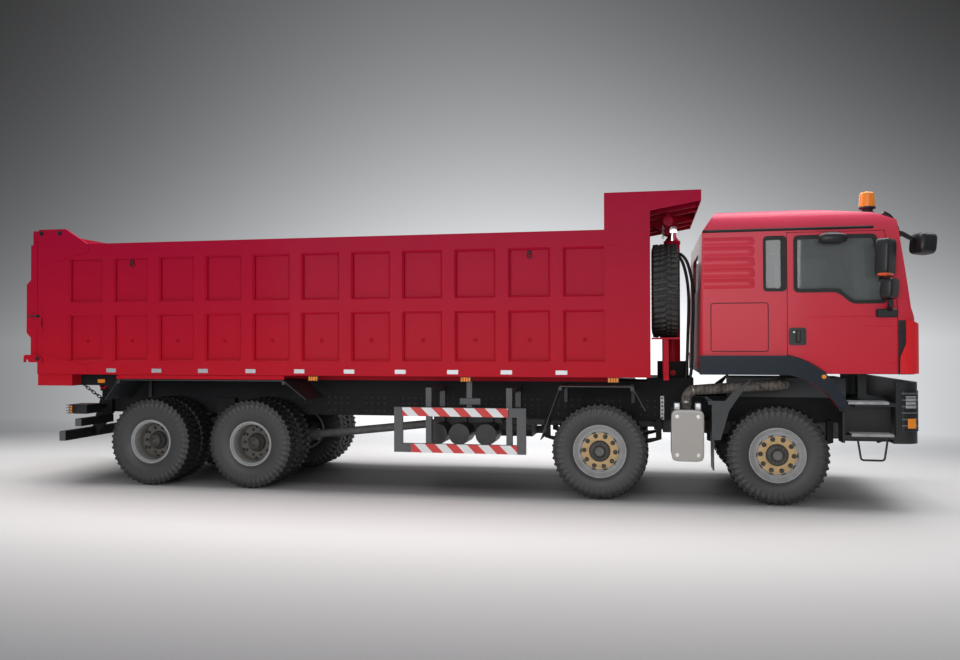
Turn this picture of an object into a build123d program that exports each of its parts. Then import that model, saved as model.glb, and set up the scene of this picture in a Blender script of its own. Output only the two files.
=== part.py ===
from build123d import *
import math
import os

os.makedirs("parts", exist_ok=True)

# A four-axle dump truck, in millimetres. X runs forward, Y to the truck's left, Z up from the ground.
# While it is drawn, X is counted from the first axle. Each piece is moved when it is written,
# so that the origin lies on the ground under the middle of the whole truck.

# Driving dimensions
tyre_radius = 562.5
tyre_width = 315
track_front = 2040
track_rear = 1770
twin_spacing = 350
axle_stations = [("1", 0), ("2", -1980), ("3", -6350), ("4", -7740)]
body_half_width = 1250
frame_half_width = 430
frame_top = 1165
frame_depth = 289
bed_front = -1391
bed_rear = -9367
bed_floor_top = 1600
side_top = 3140
headboard_top = 3567
canopy_front = -820
gate_rear = -9467
cab_rear = -846
cab_front = 1450
cab_half_width = 1215
cab_bottom = 1480
door_front = 1242
door_rear = 106
running_gap = 6
seat_gap = 0.3
overrun = 40

# What the truck reaches forward and back, which sets the origin
front_mirror_reach = 1588
claw_reach = -9550
origin_station = (front_mirror_reach + claw_reach) / 2


def block(x0, x1, y0, y1, z0, z1):
    """A box given by its two ends along each axis."""
    size = (abs(x1 - x0), abs(y1 - y0), abs(z1 - z0))
    centre = ((x0 + x1) / 2, (y0 + y1) / 2, (z0 + z1) / 2)
    return Pos(*centre) * Box(*size)


def bar_y(x, z, radius, y0, y1):
    """A round bar along Y."""
    return Pos(x, (y0 + y1) / 2, z) * Rot(90, 0, 0) * Cylinder(radius, abs(y1 - y0))


def bar_x(y, z, radius, x0, x1):
    """A round bar along X."""
    return Pos((x0 + x1) / 2, y, z) * Rot(0, 90, 0) * Cylinder(radius, abs(x1 - x0))


def bar_z(x, y, radius, z0, z1):
    """A round bar along Z."""
    return Pos(x, y, (z0 + z1) / 2) * Cylinder(radius, abs(z1 - z0))


def side_plate(outline, y0, y1):
    """An outline of (x, z) corners, or a closed face in XZ, as thick as y0 to y1."""
    if isinstance(outline, list):
        face = make_face(Polyline(*[(x, 0, z) for x, z in outline], close=True))
    else:
        face = outline
    low = min(y0, y1)
    return Pos(0, low, 0) * extrude(face, amount=abs(y1 - y0), dir=(0, 1, 0))


def cross_plate(outline, x0, x1):
    """An outline of (y, z) corners as thick as x0 to x1."""
    face = make_face(Polyline(*[(0, y, z) for y, z in outline], close=True))
    return Pos(min(x0, x1), 0, 0) * extrude(face, amount=abs(x1 - x0), dir=(1, 0, 0))


def turned(profile, x, y, z, side):
    """A ring turned about Y: profile is (radius, distance outwards) corners, side is -1 or 1."""
    face = make_face(Polyline(*[(r, out, 0) for r, out in profile], close=True))
    ring = revolve(face, Axis.Y)
    if side < 0:
        ring = mirror(ring, Plane.XZ)
    return Pos(x, y, z) * ring


def tube(points, radius, bend):
    """A round tube along straight runs with tangent bends."""
    path = FilletPolyline(*points, radius=bend)
    plane = Plane(origin=points[0], z_dir=Vector(*points[1]) - Vector(*points[0]))
    return sweep(plane * Circle(radius), path=path)


def both_sides(make):
    """The same piece made on the right (-1) and on the left (1)."""
    return [make(-1), make(1)]


def solids_of(pieces):
    """All solids of a list of shapes."""
    found = []
    for piece in pieces:
        found.extend(piece.solids())
    return found


def fused(*pieces):
    """Pieces joined into one shape."""
    whole = pieces[0]
    for piece in pieces[1:]:
        whole = whole + piece
    return whole


def write(name, *pieces):
    """Moves the pieces to the truck's origin and writes them as one node."""
    found = [Pos(-origin_station, 0, 0) * solid for solid in solids_of(pieces)]
    shape = found[0] if len(found) == 1 else Compound(children=found)
    export_step(shape, f"parts/{name}.step")


# Frame: two channel rails with cross members, and the box beams that the bed rests on
rail_flange = 80
rail_wall = 8
rail_front = 1180
rail_rear = -8980
frame_bottom = frame_top - frame_depth
sub_width = 80
sub_height = 175
sub_top = frame_top + sub_height
sub_front = -1440
cross_depth = 210
cross_length = 90
# cross members, as shares of the rail from its rear end to its front end
cross_shares = [0.012, 0.10, 0.205, 0.345, 0.47, 0.60, 0.725, 0.99]

# Rear hinge of the bed
hinge_x = -8930
hinge_z = 1255
hinge_pin_radius = 35
hinge_pin_overhang = 75
hinge_ear = 45
hinge_ear_radius = 62

# Platform behind the cab, with the hoist's cradle and the rack of the spare wheel
platform_front = -873
platform_top = 1396
cradle_rear = -1300
cradle_front = -920
cradle_top = 1590
cradle_plate = 20
cradle_inside = 175
well_rear = 130
well_front = 210
hoist_x = -1110
hoist_foot_z = 1450
trunnion_radius = 35
rack_shelf = 19
rack_post = 60

# Cab hinge, under the front of the cab
cab_pin_x = 1300
cab_pin_z = 1120
cab_pin_radius = 25
cab_ear = 30
cab_ear_radius = 48
cab_ear_back = 200
cab_ear_y = 440


def frame_rail(side):
    outer = block(rail_rear, rail_front, side * (frame_half_width - rail_flange),
                  side * frame_half_width, frame_bottom, frame_top)
    hollow = block(rail_rear - overrun, rail_front + overrun,
                   side * (frame_half_width - rail_flange - overrun),
                   side * (frame_half_width - rail_wall),
                   frame_bottom + rail_wall, frame_top - rail_wall)
    return outer - hollow


def sub_beam(side):
    return block(rail_rear - hinge_ear_radius / 2, sub_front, side * (frame_half_width - sub_width),
                 side * frame_half_width, frame_top, sub_top)


def cross_member(share):
    x = rail_rear + share * (rail_front - rail_rear)
    inside = frame_half_width - rail_wall
    middle = (frame_top + frame_bottom) / 2
    return block(x - cross_length / 2, x + cross_length / 2, -inside, inside,
                 middle - cross_depth / 2, middle + cross_depth / 2)


def cradle(side):
    outline = [(cradle_rear, platform_top), (cradle_front, platform_top),
               (cradle_front, cradle_top), (cradle_rear, cradle_top)]
    plate = side_plate(outline, side * cradle_inside, side * (cradle_inside + cradle_plate))
    return plate - bar_y(hoist_x, hoist_foot_z, trunnion_radius + seat_gap,
                         side * (cradle_inside - overrun), side * (cradle_inside + cradle_plate + overrun))


def cab_bracket(side):
    inner = side * (frame_half_width - rail_flange)
    outer = side * (frame_half_width - rail_wall)
    front = cab_pin_x + cab_ear_radius
    outline = [(rail_front - rail_flange, frame_bottom), (front, cab_pin_z - cab_ear_radius),
               (front, cab_pin_z + cab_ear_radius), (rail_front - rail_flange, frame_top)]
    return side_plate(outline, inner, outer)


def make_frame():
    pieces = [frame_rail(-1), frame_rail(1)]
    pieces += [cross_member(share) for share in cross_shares]
    pieces += both_sides(sub_beam)
    platform = block(sub_front, platform_front, -frame_half_width, frame_half_width, frame_top,
                     platform_top)
    well = block(hoist_x - well_rear, hoist_x + well_front, -cradle_inside, cradle_inside,
                 frame_top - overrun, platform_top + overrun)
    pieces.append(platform - well)
    pieces += both_sides(cradle)
    pieces += both_sides(cab_bracket)
    reach = frame_half_width + hinge_pin_overhang
    pieces.append(bar_y(hinge_x, hinge_z, hinge_pin_radius, -reach, reach))
    reach = cab_ear_y + cab_ear + running_gap
    pieces.append(bar_y(cab_pin_x, cab_pin_z, cab_pin_radius, -reach, reach))
    return fused(*pieces)


# Spare wheel, upright behind the cab, and its rack
spare_x = -1215.5
spare_y = -690
shelf_z = 1889
spare_z = shelf_z + seat_gap + tyre_radius
rack_inner_y = -250
rack_outer_y = -1130
rack_post_shares = [0.08, 0.92]


def make_rack():
    half = tyre_width / 2
    rear, front = spare_x - rack_post / 2, spare_x + rack_post / 2
    shelf = block(spare_x - half, spare_x + half, rack_outer_y, rack_inner_y, shelf_z - rack_shelf, shelf_z)
    beam = block(rear, front, rack_outer_y, -cradle_inside - cradle_plate, platform_top,
                 platform_top + rack_post)
    posts = []
    for share in rack_post_shares:
        y = rack_outer_y + share * (rack_inner_y - rack_outer_y)
        posts.append(block(rear, front, y - rack_post / 2, y + rack_post / 2, platform_top,
                           shelf_z - rack_shelf))
    return fused(shelf, beam, *posts)


# Tyres: outline of the section, as shares of its height above the bead and of half its width
bead_radius = 270
tyre_side_shares = [(0.0, 0.72), (0.10, 0.86), (0.45, 1.0), (0.80, 0.955), (0.955, 0.86), (1.0, 0.70)]
# Rims: radius and distance outwards from the middle of the tyre
rim_radius = 250
rim_flange_radius = bead_radius - seat_gap
rim_half_width = 125
rim_wall = 12
flange_wall = 16
disc_offset = 62
disc_wall = 14
dish_depth = 95
hub_radius = 118
hub_reach = 105
stud_ring_radius = 167.5
hand_hole_radius = 26
spindle_radius = 40
drum_radius = 200
hub_inner = 48
drum_wall = 14


def tyre_ring(x, y, z):
    height = tyre_radius - bead_radius
    half = tyre_width / 2
    right = [(bead_radius + r * height, w * half) for r, w in tyre_side_shares]
    left = [(r, -w) for r, w in reversed(right)]
    return turned(right + left, x, y, z, 1)


def rim_ring(x, y, z, side):
    """A rim whose disc lies outwards on side, with its hub boss."""
    half = rim_half_width
    inner = rim_radius - rim_wall
    profile = [(inner, -half), (rim_flange_radius, -half), (rim_flange_radius, -half + flange_wall),
               (rim_radius, -half + flange_wall), (rim_radius, half - flange_wall),
               (rim_flange_radius, half - flange_wall), (rim_flange_radius, half), (inner, half)]
    barrel = turned(profile, x, y, z, side)
    face = disc_offset
    disc_profile = [(hub_radius, face - disc_wall), (hub_radius, face),
                    (stud_ring_radius + hand_hole_radius, face), (inner + seat_gap, face - dish_depth / 2),
                    (inner + seat_gap, face - dish_depth / 2 - disc_wall),
                    (stud_ring_radius + hand_hole_radius, face - disc_wall)]
    disc = turned(disc_profile, x, y, z, side)
    return barrel + disc


def steered_rim(x, side):
    y = side * track_front / 2
    rim = rim_ring(x, y, tyre_radius, side)
    hub_profile = [(spindle_radius + seat_gap, -hub_inner), (hub_radius, -hub_inner),
                   (hub_radius, hub_reach), (hub_radius * hub_face_share, hub_reach + hub_step),
                   (0, hub_reach + hub_step), (0, hub_reach - hub_step),
                   (spindle_radius + seat_gap, hub_reach - hub_step)]
    hub = turned(hub_profile, x, y, tyre_radius, side)
    return rim + hub


# Hubs and drums
hub_face_share = 0.72
hub_step = 26
rear_hub_reach = 150
rear_spindle_radius = 62


def twin_rims(x, side):
    middle = side * track_rear / 2
    outer = rim_ring(x, middle + side * twin_spacing / 2, tyre_radius, -side)
    inner = rim_ring(x, middle - side * twin_spacing / 2, tyre_radius, side)
    low = -twin_spacing / 2 - rim_half_width * rear_drum_share
    hub_profile = [(rear_spindle_radius + seat_gap, low), (drum_radius, low),
                   (drum_radius, -twin_spacing / 2), (hub_radius, -twin_spacing / 2 + drum_wall),
                   (hub_radius, rear_hub_reach), (hub_radius * hub_face_share, rear_hub_reach + hub_step),
                   (0, rear_hub_reach + hub_step), (0, rear_hub_reach - hub_step),
                   (rear_spindle_radius + seat_gap, rear_hub_reach - hub_step)]
    hub = turned(hub_profile, x, middle, tyre_radius, side)
    return fused(inner, hub, outer)


rear_drum_share = 0.9

# Steered axles and knuckles
kingpin_y = 880
beam_width = 90
beam_height = 105
beam_drop = 90
beam_flat_reach = 640
fist_radius = 45
fist_height = 130
kingpin_radius = 22
knuckle_lug = 34
knuckle_gap = 1
knuckle_wall = 34
spindle_reach = track_front / 2 + hub_reach - hub_step
arm_length = 200
arm_inset = 85
arm_thick = 26
arm_width = 50
tie_rod_radius = 22


def steer_axle(x):
    z = tyre_radius
    half_x = beam_width / 2
    end = kingpin_y - fist_radius / 2
    low = z - beam_drop
    top = beam_height / 2
    inner = beam_flat_reach - beam_drop
    right = [(end, z + top), (end, z - top), (beam_flat_reach, z - top), (inner, low - top)]
    left = [(-y, level) for y, level in reversed(right)]
    outline = right + left + [(-beam_flat_reach, z + top), (-inner, low + top), (inner, low + top),
                              (beam_flat_reach, z + top)]
    pieces = [cross_plate(outline, x - half_x, x + half_x)]
    for side in (-1, 1):
        pieces.append(bar_z(x, side * kingpin_y, fist_radius, z - fist_height / 2, z + fist_height / 2))
        reach = fist_height / 2 + knuckle_gap + knuckle_lug
        pieces.append(bar_z(x, side * kingpin_y, kingpin_radius, z - reach, z + reach))
    return fused(*pieces)


def knuckle(x, side):
    z = tyre_radius
    y = side * kingpin_y
    wall_y = side * (kingpin_y + fist_radius + running_gap)
    outer_y = wall_y + side * knuckle_wall
    reach = fist_height / 2 + knuckle_gap + knuckle_lug
    body = block(x - fist_radius, x + fist_radius, wall_y, outer_y, z - reach, z + reach)
    pieces = [body]
    for top in (-1, 1):
        near = z + top * (fist_height / 2 + knuckle_gap)
        far = z + top * reach
        pieces.append(bar_z(x, y, fist_radius, near, far))
        pieces.append(block(x - fist_radius, x + fist_radius, y, wall_y, near, far))
    pieces.append(bar_y(x, z, spindle_radius, wall_y, side * spindle_reach))
    arm_low = z - reach
    arm_y = side * (kingpin_y - arm_inset)
    pieces.append(block(x - fist_radius, x + fist_radius, arm_y - side * arm_width / 2, y, arm_low,
                        arm_low + arm_thick))
    pieces.append(block(x - arm_length, x, arm_y - arm_width / 2, arm_y + arm_width / 2, arm_low,
                        arm_low + arm_thick))
    pieces.append(bar_z(x - arm_length, arm_y, arm_width / 2, arm_low, arm_low + arm_thick))
    whole = fused(*pieces)
    return whole - bar_z(x, y, kingpin_radius + seat_gap, z - reach - overrun, z + reach + overrun)


def tie_rod(x):
    reach = fist_height / 2 + knuckle_gap + knuckle_lug
    end_y = kingpin_y - arm_inset
    top = tyre_radius - reach - seat_gap
    waist = tie_rod_radius * tie_rod_waist_share
    pieces = [bar_y(x - arm_length, top - tie_rod_radius, waist, -end_y, end_y)]
    for side in (-1, 1):
        pieces.append(bar_z(x - arm_length, side * end_y, arm_width / 2, top - 2 * tie_rod_radius, top))
    return fused(*pieces)


tie_rod_waist_share = 0.85

# Driven axles
housing_radius = 75
banjo_radius = 205
banjo_width = 230
nose_radius = 110
nose_length = 330
housing_reach = track_rear / 2 + rear_hub_reach - hub_step


def drive_axle(x):
    z = tyre_radius
    inner = track_rear / 2 - twin_spacing / 2 - rim_half_width * rear_drum_share - running_gap
    pieces = [bar_y(x, z, housing_radius, -inner, inner),
              bar_y(x, z, banjo_radius, -banjo_width / 2, banjo_width / 2),
              bar_x(0, z, nose_radius, x, x + nose_length)]
    for side in (-1, 1):
        pieces.append(bar_y(x, z, rear_spindle_radius, side * (inner - running_gap), side * housing_reach))
    return fused(*pieces)


# Leaf springs
leaf_width = 80
leaf_y = 470
front_leaf_half = 720
front_leaf_seat = 620
front_leaf_stack = 84
leaf_rise = 120
leaf_end = 24
hanger_length = 70
bogie_leaf_half = 745
bogie_leaf_seat = tyre_radius + housing_radius
bogie_leaf_stack = 110
bogie_leaf_rise = 90
saddle_length = 260


def front_spring(x, side):
    """A pack that is deep over the axle and thin at its ends, with hangers up to the rail."""
    base = tyre_radius - beam_drop + beam_height / 2 + seat_gap
    tip = base + leaf_rise
    low = make_face([
        ThreePointArc((x - front_leaf_half, 0, tip), (x, 0, base), (x + front_leaf_half, 0, tip)),
        Line((x + front_leaf_half, 0, tip), (x + front_leaf_half, 0, tip + leaf_end)),
        ThreePointArc((x + front_leaf_half, 0, tip + leaf_end), (x, 0, base + front_leaf_stack),
                      (x - front_leaf_half, 0, tip + leaf_end)),
        Line((x - front_leaf_half, 0, tip + leaf_end), (x - front_leaf_half, 0, tip))])
    y0, y1 = side * (leaf_y - leaf_width / 2), side * (leaf_y + leaf_width / 2)
    pack = side_plate(low, y0, y1)
    pieces = [pack]
    for end in (-1, 1):
        edge = x + end * front_leaf_half
        pieces.append(block(edge - end * hanger_length, edge, y0, y1, tip + leaf_end / 2,
                            frame_bottom + leaf_end))
    return fused(*pieces)


def bogie_spring(side):
    """The inverted pack over both driven axles, on a saddle that hangs from the rail."""
    front = axle_stations[2][1]
    rear = axle_stations[3][1]
    x = (front + rear) / 2
    base = bogie_leaf_seat + seat_gap
    crown = base + bogie_leaf_rise
    outline = make_face([
        ThreePointArc((x - bogie_leaf_half, 0, base), (x, 0, crown), (x + bogie_leaf_half, 0, base)),
        Line((x + bogie_leaf_half, 0, base), (x + bogie_leaf_half, 0, base + leaf_end)),
        ThreePointArc((x + bogie_leaf_half, 0, base + leaf_end), (x, 0, crown + bogie_leaf_stack),
                      (x - bogie_leaf_half, 0, base + leaf_end)),
        Line((x - bogie_leaf_half, 0, base + leaf_end), (x - bogie_leaf_half, 0, base))])
    y0, y1 = side * (leaf_y - leaf_width / 2), side * (leaf_y + leaf_width / 2)
    saddle = block(x - saddle_length / 2, x + saddle_length / 2, y0, y1, crown, frame_top - rail_flange)
    rail_side = side * frame_half_width
    foot = block(x - saddle_length / 2, x + saddle_length / 2, rail_side, y1, crown,
                 frame_top - rail_flange)
    return fused(side_plate(outline, y0, y1), saddle, foot)


# Engine, gearbox and propeller shafts
engine_rear = -420
engine_front = 900
engine_half_width = 330
engine_bottom = 690
engine_top = 1400
gearbox_rear = -1240
gearbox_half_width = 210
gearbox_bottom = 700
gearbox_top = 1120
shaft_radius = 55
shaft_z = 800
shaft_joint_radius = 85
shaft_joint_length = 110


def make_engine():
    return block(engine_rear, engine_front, -engine_half_width, engine_half_width, engine_bottom,
                 engine_top)


def make_driveline():
    """The gearbox, the long shaft with its middle joint, and the short shaft between the driven axles."""
    box = block(gearbox_rear, engine_rear, -gearbox_half_width, gearbox_half_width, gearbox_bottom,
                gearbox_top)
    first = axle_stations[2][1] + nose_length
    second = axle_stations[3][1] + nose_length
    middle = (gearbox_rear + first) / 2
    pieces = [box, bar_x(0, shaft_z, shaft_radius, middle, gearbox_rear),
              bar_x(0, tyre_radius, shaft_joint_radius, first, first + shaft_joint_length)]
    for x in (gearbox_rear, middle):
        pieces.append(bar_x(0, shaft_z, shaft_joint_radius, x - shaft_joint_length, x))
    start = Vector(middle - shaft_joint_length, 0, shaft_z)
    end = Vector(first + shaft_joint_length / 2, 0, tyre_radius)
    pieces.append(cone_between(start, end, shaft_radius))
    through = axle_stations[2][1] - banjo_radius * through_share
    short = bar_x(0, tyre_radius, shaft_radius, second, through)
    return [fused(*pieces), short]


through_share = 1.0


def cone_between(start, end, radius):
    """A round shaft from one point to another."""
    run = end - start
    plane = Plane(origin=start, z_dir=run)
    return extrude(plane * Circle(radius), amount=run.length)


# Bed: floor on cross members and sills, side walls with posts and rails, headboard and tailgate
wall_depth = 60
panel_thick = 8
floor_thick = 8
sill_inner = 350
sill_bottom = sub_top + seat_gap
sill_top = 1500
cross_width = 80
lower_rail_bottom = 1430
lower_rail_top = 1630
mid_rail_bottom = 2192
mid_rail_top = 2392
top_rail_bottom = 2930
rear_pillar_front = -8879
cheek_rear = -1913
bays = 11
post_width = 197
post_pitch = (cheek_rear - rear_pillar_front + post_width) / bays
rear_beam_rear = -9402
rear_beam_front = -9062
rear_beam_bottom = 1276
bolster_front = -8889
bolster_inner = frame_half_width + hinge_pin_overhang + running_gap
front_wall = 48
canopy_fascia = 124
canopy_bottom = headboard_top - canopy_fascia
canopy_plate = 12
canopy_root_depth = 222
canopy_root_bottom = headboard_top - canopy_root_depth
canopy_end = 12
canopy_rib = 60
hoist_eye_drop = 297
hoist_eye_z = headboard_top - hoist_eye_drop
cross_tube_radius = 35
cross_tube_reach = 130
saddle_plate = 30
saddle_inner = 85
eye_beam_depth = 110


def make_floor():
    inside = body_half_width - wall_depth
    plate = block(bed_rear, cheek_rear, -inside, inside, bed_floor_top - floor_thick, bed_floor_top)
    under = bed_floor_top - floor_thick
    pieces = [plate]
    for side in (-1, 1):
        pieces.append(block(hinge_x + hinge_ear_radius, cheek_rear, side * sill_inner,
                            side * frame_half_width, sill_bottom, sill_top))
        pieces.append(block(rear_beam_rear, bolster_front, side * bolster_inner, side * inside,
                            rear_beam_bottom, lower_rail_bottom))
        pieces.append(block(rear_beam_rear, bolster_front, side * bolster_inner, side * inside,
                            lower_rail_bottom, under))
        ear_in = side * (frame_half_width + running_gap)
        ear_out = ear_in + side * hinge_ear
        ear = block(hinge_x - hinge_ear_radius, hinge_x + hinge_ear_radius, ear_in, ear_out, hinge_z,
                    sill_top)
        brace = block(hinge_x - hinge_ear_radius, hinge_x + 2 * hinge_ear_radius, side * sill_inner,
                      ear_out, sill_top, under)
        pieces.append(brace)
        pieces += [ear, bar_y(hinge_x, hinge_z, hinge_ear_radius, ear_in, ear_out)]
    pieces.append(block(rear_beam_rear, rear_beam_front, -inside, inside, rear_beam_bottom, under))
    pieces.append(block(cheek_rear - cross_width, cheek_rear, -inside, inside, sill_top, under))
    for number in range(1, bays):
        x = rear_pillar_front - post_width / 2 + number * post_pitch
        pieces.append(block(x - cross_width / 2, x + cross_width / 2, -inside, inside, sill_top, under))
    whole = fused(*pieces)
    reach = bolster_inner
    for side in (-1, 1):
        whole = whole - bar_y(hinge_x, hinge_z, hinge_pin_radius + seat_gap, side * sill_inner,
                              side * reach)
    return whole


def side_wall(side):
    """One wall: a panel with box rails at three heights and posts between, open frames outside."""
    outer = side * body_half_width
    inner = side * (body_half_width - wall_depth)
    panel = block(bed_rear, cheek_rear, inner, inner + side * panel_thick, lower_rail_bottom, side_top)
    pieces = [panel]
    for low, high in ((lower_rail_bottom, lower_rail_top), (mid_rail_bottom, mid_rail_top),
                      (top_rail_bottom, side_top)):
        pieces.append(block(bed_rear, cheek_rear, inner, outer, low, high))
    pieces.append(block(bed_rear, rear_pillar_front, inner, outer, lower_rail_bottom, side_top))
    for number in range(bays - 1):
        x = rear_pillar_front + post_pitch - post_width + number * post_pitch
        pieces.append(block(x, x + post_width, inner, outer, lower_rail_bottom, side_top))
    whole = fused(*pieces)
    for bay in range(bays):
        rear = rear_pillar_front + bay * post_pitch
        front = rear + post_pitch - post_width
        for low, high in ((lower_rail_top, mid_rail_bottom), (mid_rail_top, top_rail_bottom)):
            whole = whole - window_slope(side, rear, front, low, high)
    corners = [corner_plate(side, *corner) for corner in plate_corners]
    return fused(whole, *corners, claw(side))


window_bevel = 24
# corner plates: x and z of the corner, then which way the plate runs along X and Z
plate_thick = 8
plate_inset = 18
plate_length = 740
plate_root = 270
plate_tip = 85
plate_round = 30
plate_corners = [(bed_rear + plate_inset, side_top - plate_inset, 1, -1),
                 (bed_rear + plate_inset, lower_rail_bottom + plate_inset, 1, 1),
                 (bed_front - plate_inset, side_top - plate_inset, -1, -1),
                 (bed_front - plate_inset, lower_rail_bottom + plate_inset, -1, 1)]
claw_thick = 24
claw_z = 1636
claw_inset = 28
claw_pivot_x = bed_rear + claw_inset
claw_pin_radius = 24
claw_back = 62
claw_half = 50
claw_notch = 22
claw_mouth = 60


def window_slope(side, x0, x1, z0, z1):
    """What the sloping edges of one window take off its frame."""
    outer = side * body_half_width
    inner = outer - side * window_bevel
    wide = Plane(origin=((x0 + x1) / 2, outer, (z0 + z1) / 2), x_dir=(1, 0, 0), z_dir=(0, side, 0))
    narrow = Plane(origin=((x0 + x1) / 2, inner, (z0 + z1) / 2), x_dir=(1, 0, 0), z_dir=(0, side, 0))
    across, high = x1 - x0, z1 - z0
    return loft([narrow * Rectangle(across, high),
                 wide * Rectangle(across + 2 * window_bevel, high + 2 * window_bevel)])


def corner_plate(side, x, z, along, up):
    """A wedge over a corner of the frames, deep at the corner and shallow at its tip."""
    tip = x + along * plate_length
    outline = [(x, z), (tip, z), (tip, z + up * plate_tip), (x, z + up * plate_root)]
    outer = side * body_half_width
    plate = side_plate(outline, outer, outer + side * plate_thick)
    return fillet(plate.edges().filter_by(Axis.Y), plate_round)


def claw(side):
    """The hook that holds the gate's foot: it turns on the rear pillar and reaches round from above."""
    outer = side * body_half_width
    inner = outer + side * running_gap
    top, low = claw_z + claw_half, claw_z - claw_half
    tip = claw_reach + claw_notch
    outline = [(claw_pivot_x + claw_back, low), (claw_pivot_x + claw_back, claw_z), (claw_pivot_x, top),
               (tip, top), (claw_reach, top - claw_notch), (claw_reach, low), (tip, low),
               (tip, claw_z - claw_notch), (tip + claw_mouth / 2, claw_z), (tip + claw_mouth, low)]
    hook = side_plate(outline, inner, inner + side * claw_thick)
    pin = bar_y(claw_pivot_x, claw_z, claw_pin_radius, outer, inner + side * (claw_thick + running_gap))
    return hook + pin


# Tailgate hinge at the top of the side walls
gate_pin_x = -9312
gate_pin_z = 3296
gate_pin_radius = 20
bracket_rear = -9350
bracket_flat = -8951
bracket_top = 3345
bracket_foot = -8631
bracket_thick = 35
gate_arm = 33
gate_front = bed_rear - running_gap
gate_top = 3333
gate_bottom = bed_floor_top + running_gap
gate_frame = 120
gate_rib = 70
gate_skin = 12
gate_arm_radius = 42
belly_depth = 63
belly_bottom = 1976
belly_top = 2618


def gate_bracket(side):
    outline = [(bracket_rear, side_top), (bracket_foot, side_top), (bracket_flat, bracket_top),
               (bracket_rear, bracket_top)]
    outer = side * body_half_width
    inner = outer - side * bracket_thick
    plate = side_plate(outline, inner, outer)
    pin_in = inner - side * (running_gap + gate_arm)
    return plate + bar_y(gate_pin_x, gate_pin_z, gate_pin_radius, pin_in, outer)


def make_gate():
    """A skin with a frame and ribs on its rear face."""
    skin = block(gate_front, gate_front - gate_skin, -body_half_width, body_half_width, gate_bottom,
                 side_top)
    pieces = [skin]
    for low, high, half in ((gate_bottom, gate_bottom + gate_frame, body_half_width),
                            (side_top - gate_frame, side_top, body_half_width),
                            (side_top, gate_top, gate_narrow),
                            (mid_rail_bottom, mid_rail_top, body_half_width)):
        pieces.append(block(gate_front, gate_rear, -half, half, low, high))
    for share in gate_post_shares:
        y = share * (body_half_width - gate_rib / 2)
        outline = [(gate_front, gate_bottom), (gate_rear, gate_bottom), (gate_rear, belly_bottom - belly_depth),
                   (gate_rear - belly_depth, belly_bottom), (gate_rear - belly_depth, belly_top),
                   (gate_rear, belly_top + belly_depth), (gate_rear, side_top), (gate_front, side_top)]
        pieces.append(side_plate(outline, y - gate_rib / 2, y + gate_rib / 2))
    return fused(*pieces)


def gate_hinge(side):
    """An arm from the gate's top bar to the eye round the pin."""
    outer = side * gate_narrow
    inner = outer - side * gate_arm
    arm = block(gate_front, gate_pin_x, inner, outer, gate_pin_z - gate_arm_radius,
                gate_pin_z + gate_arm_radius * gate_arm_share)
    eye = bar_y(gate_pin_x, gate_pin_z, gate_arm_radius, inner, outer)
    return arm + eye - bar_y(gate_pin_x, gate_pin_z, gate_pin_radius + seat_gap, inner - side * overrun,
                             outer + side * overrun)


gate_post_shares = [-1, -0.5, 0, 0.5, 1]
gate_arm_share = 0.85
gate_narrow = body_half_width - bracket_thick - running_gap


def make_headboard():
    """The front wall between two deep cheeks, the canopy over the cab's back, and the hoist's saddle."""
    inside = body_half_width - wall_depth
    wall = block(cheek_rear, cheek_rear + front_wall, -body_half_width, body_half_width,
                 lower_rail_bottom, headboard_top)
    pieces = [wall]
    for side in (-1, 1):
        pieces.append(block(cheek_rear, bed_front, side * inside, side * body_half_width,
                            lower_rail_bottom, headboard_top))
        pieces.append(canopy_wedge(side * (body_half_width - canopy_end), side * body_half_width))
        ear_y = side * saddle_inner
        pieces.append(saddle_ear(ear_y, ear_y + side * saddle_plate))
    pieces.append(block(cheek_rear, canopy_front, -body_half_width, body_half_width,
                        headboard_top - canopy_plate, headboard_top))
    pieces.append(block(canopy_front - canopy_end, canopy_front, -body_half_width, body_half_width,
                        canopy_bottom, headboard_top))
    pieces.append(block(bed_front - eye_beam_depth, bed_front, -inside, inside,
                        canopy_bottom - eye_beam_depth, headboard_top))
    for share in canopy_rib_shares:
        y = share * inside
        pieces.append(canopy_wedge(y - canopy_rib / 2, y + canopy_rib / 2))
    return fused(*pieces)


def canopy_wedge(y0, y1):
    """A plate under the canopy's sheet, deep at the headboard and shallow at the front edge."""
    outline = [(bed_front, canopy_root_bottom), (canopy_front, canopy_bottom), (canopy_front, headboard_top),
               (bed_front, headboard_top)]
    return side_plate(outline, y0, y1)


canopy_rib_shares = [-0.7, -0.35, 0.35, 0.7]
saddle_lip = 34
saddle_flare = 22


def saddle_ear(y0, y1):
    """A plate whose notch opens forwards and down, where the hoist's cross tube seats."""
    r = cross_tube_radius + seat_gap
    lip = r + saddle_lip
    outline = [(bed_front, headboard_top), (hoist_x + lip, headboard_top), (hoist_x + lip, hoist_eye_z + r),
               (hoist_x, hoist_eye_z - lip), (hoist_x - lip, hoist_eye_z - lip),
               (bed_front, canopy_bottom - eye_beam_depth)]
    plate = side_plate(outline, y0, y1)
    seat = bar_y(hoist_x, hoist_eye_z, r, y0 - overrun, y1 + overrun)
    reach = r + saddle_lip * 4
    mouth = [(hoist_x, hoist_eye_z), (hoist_x, hoist_eye_z + r),
             (hoist_x + reach, hoist_eye_z + r - saddle_flare), (hoist_x + reach, hoist_eye_z - reach),
             (hoist_x - r + saddle_flare, hoist_eye_z - reach), (hoist_x - r, hoist_eye_z)]
    return plate - seat - side_plate(mouth, min(y0, y1) - overrun, max(y0, y1) + overrun)


# Hoist: a barrel on a trunnion and four stages, each inside the one before
barrel_radius = 97
barrel_bottom = 1235
stage_stack = 142
barrel_top = hoist_eye_z - stage_stack
tube_wall = 8
stage_clear = 2
stage_show = 16
foot_cap = 40
stages = 4
eye_block = 60


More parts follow.
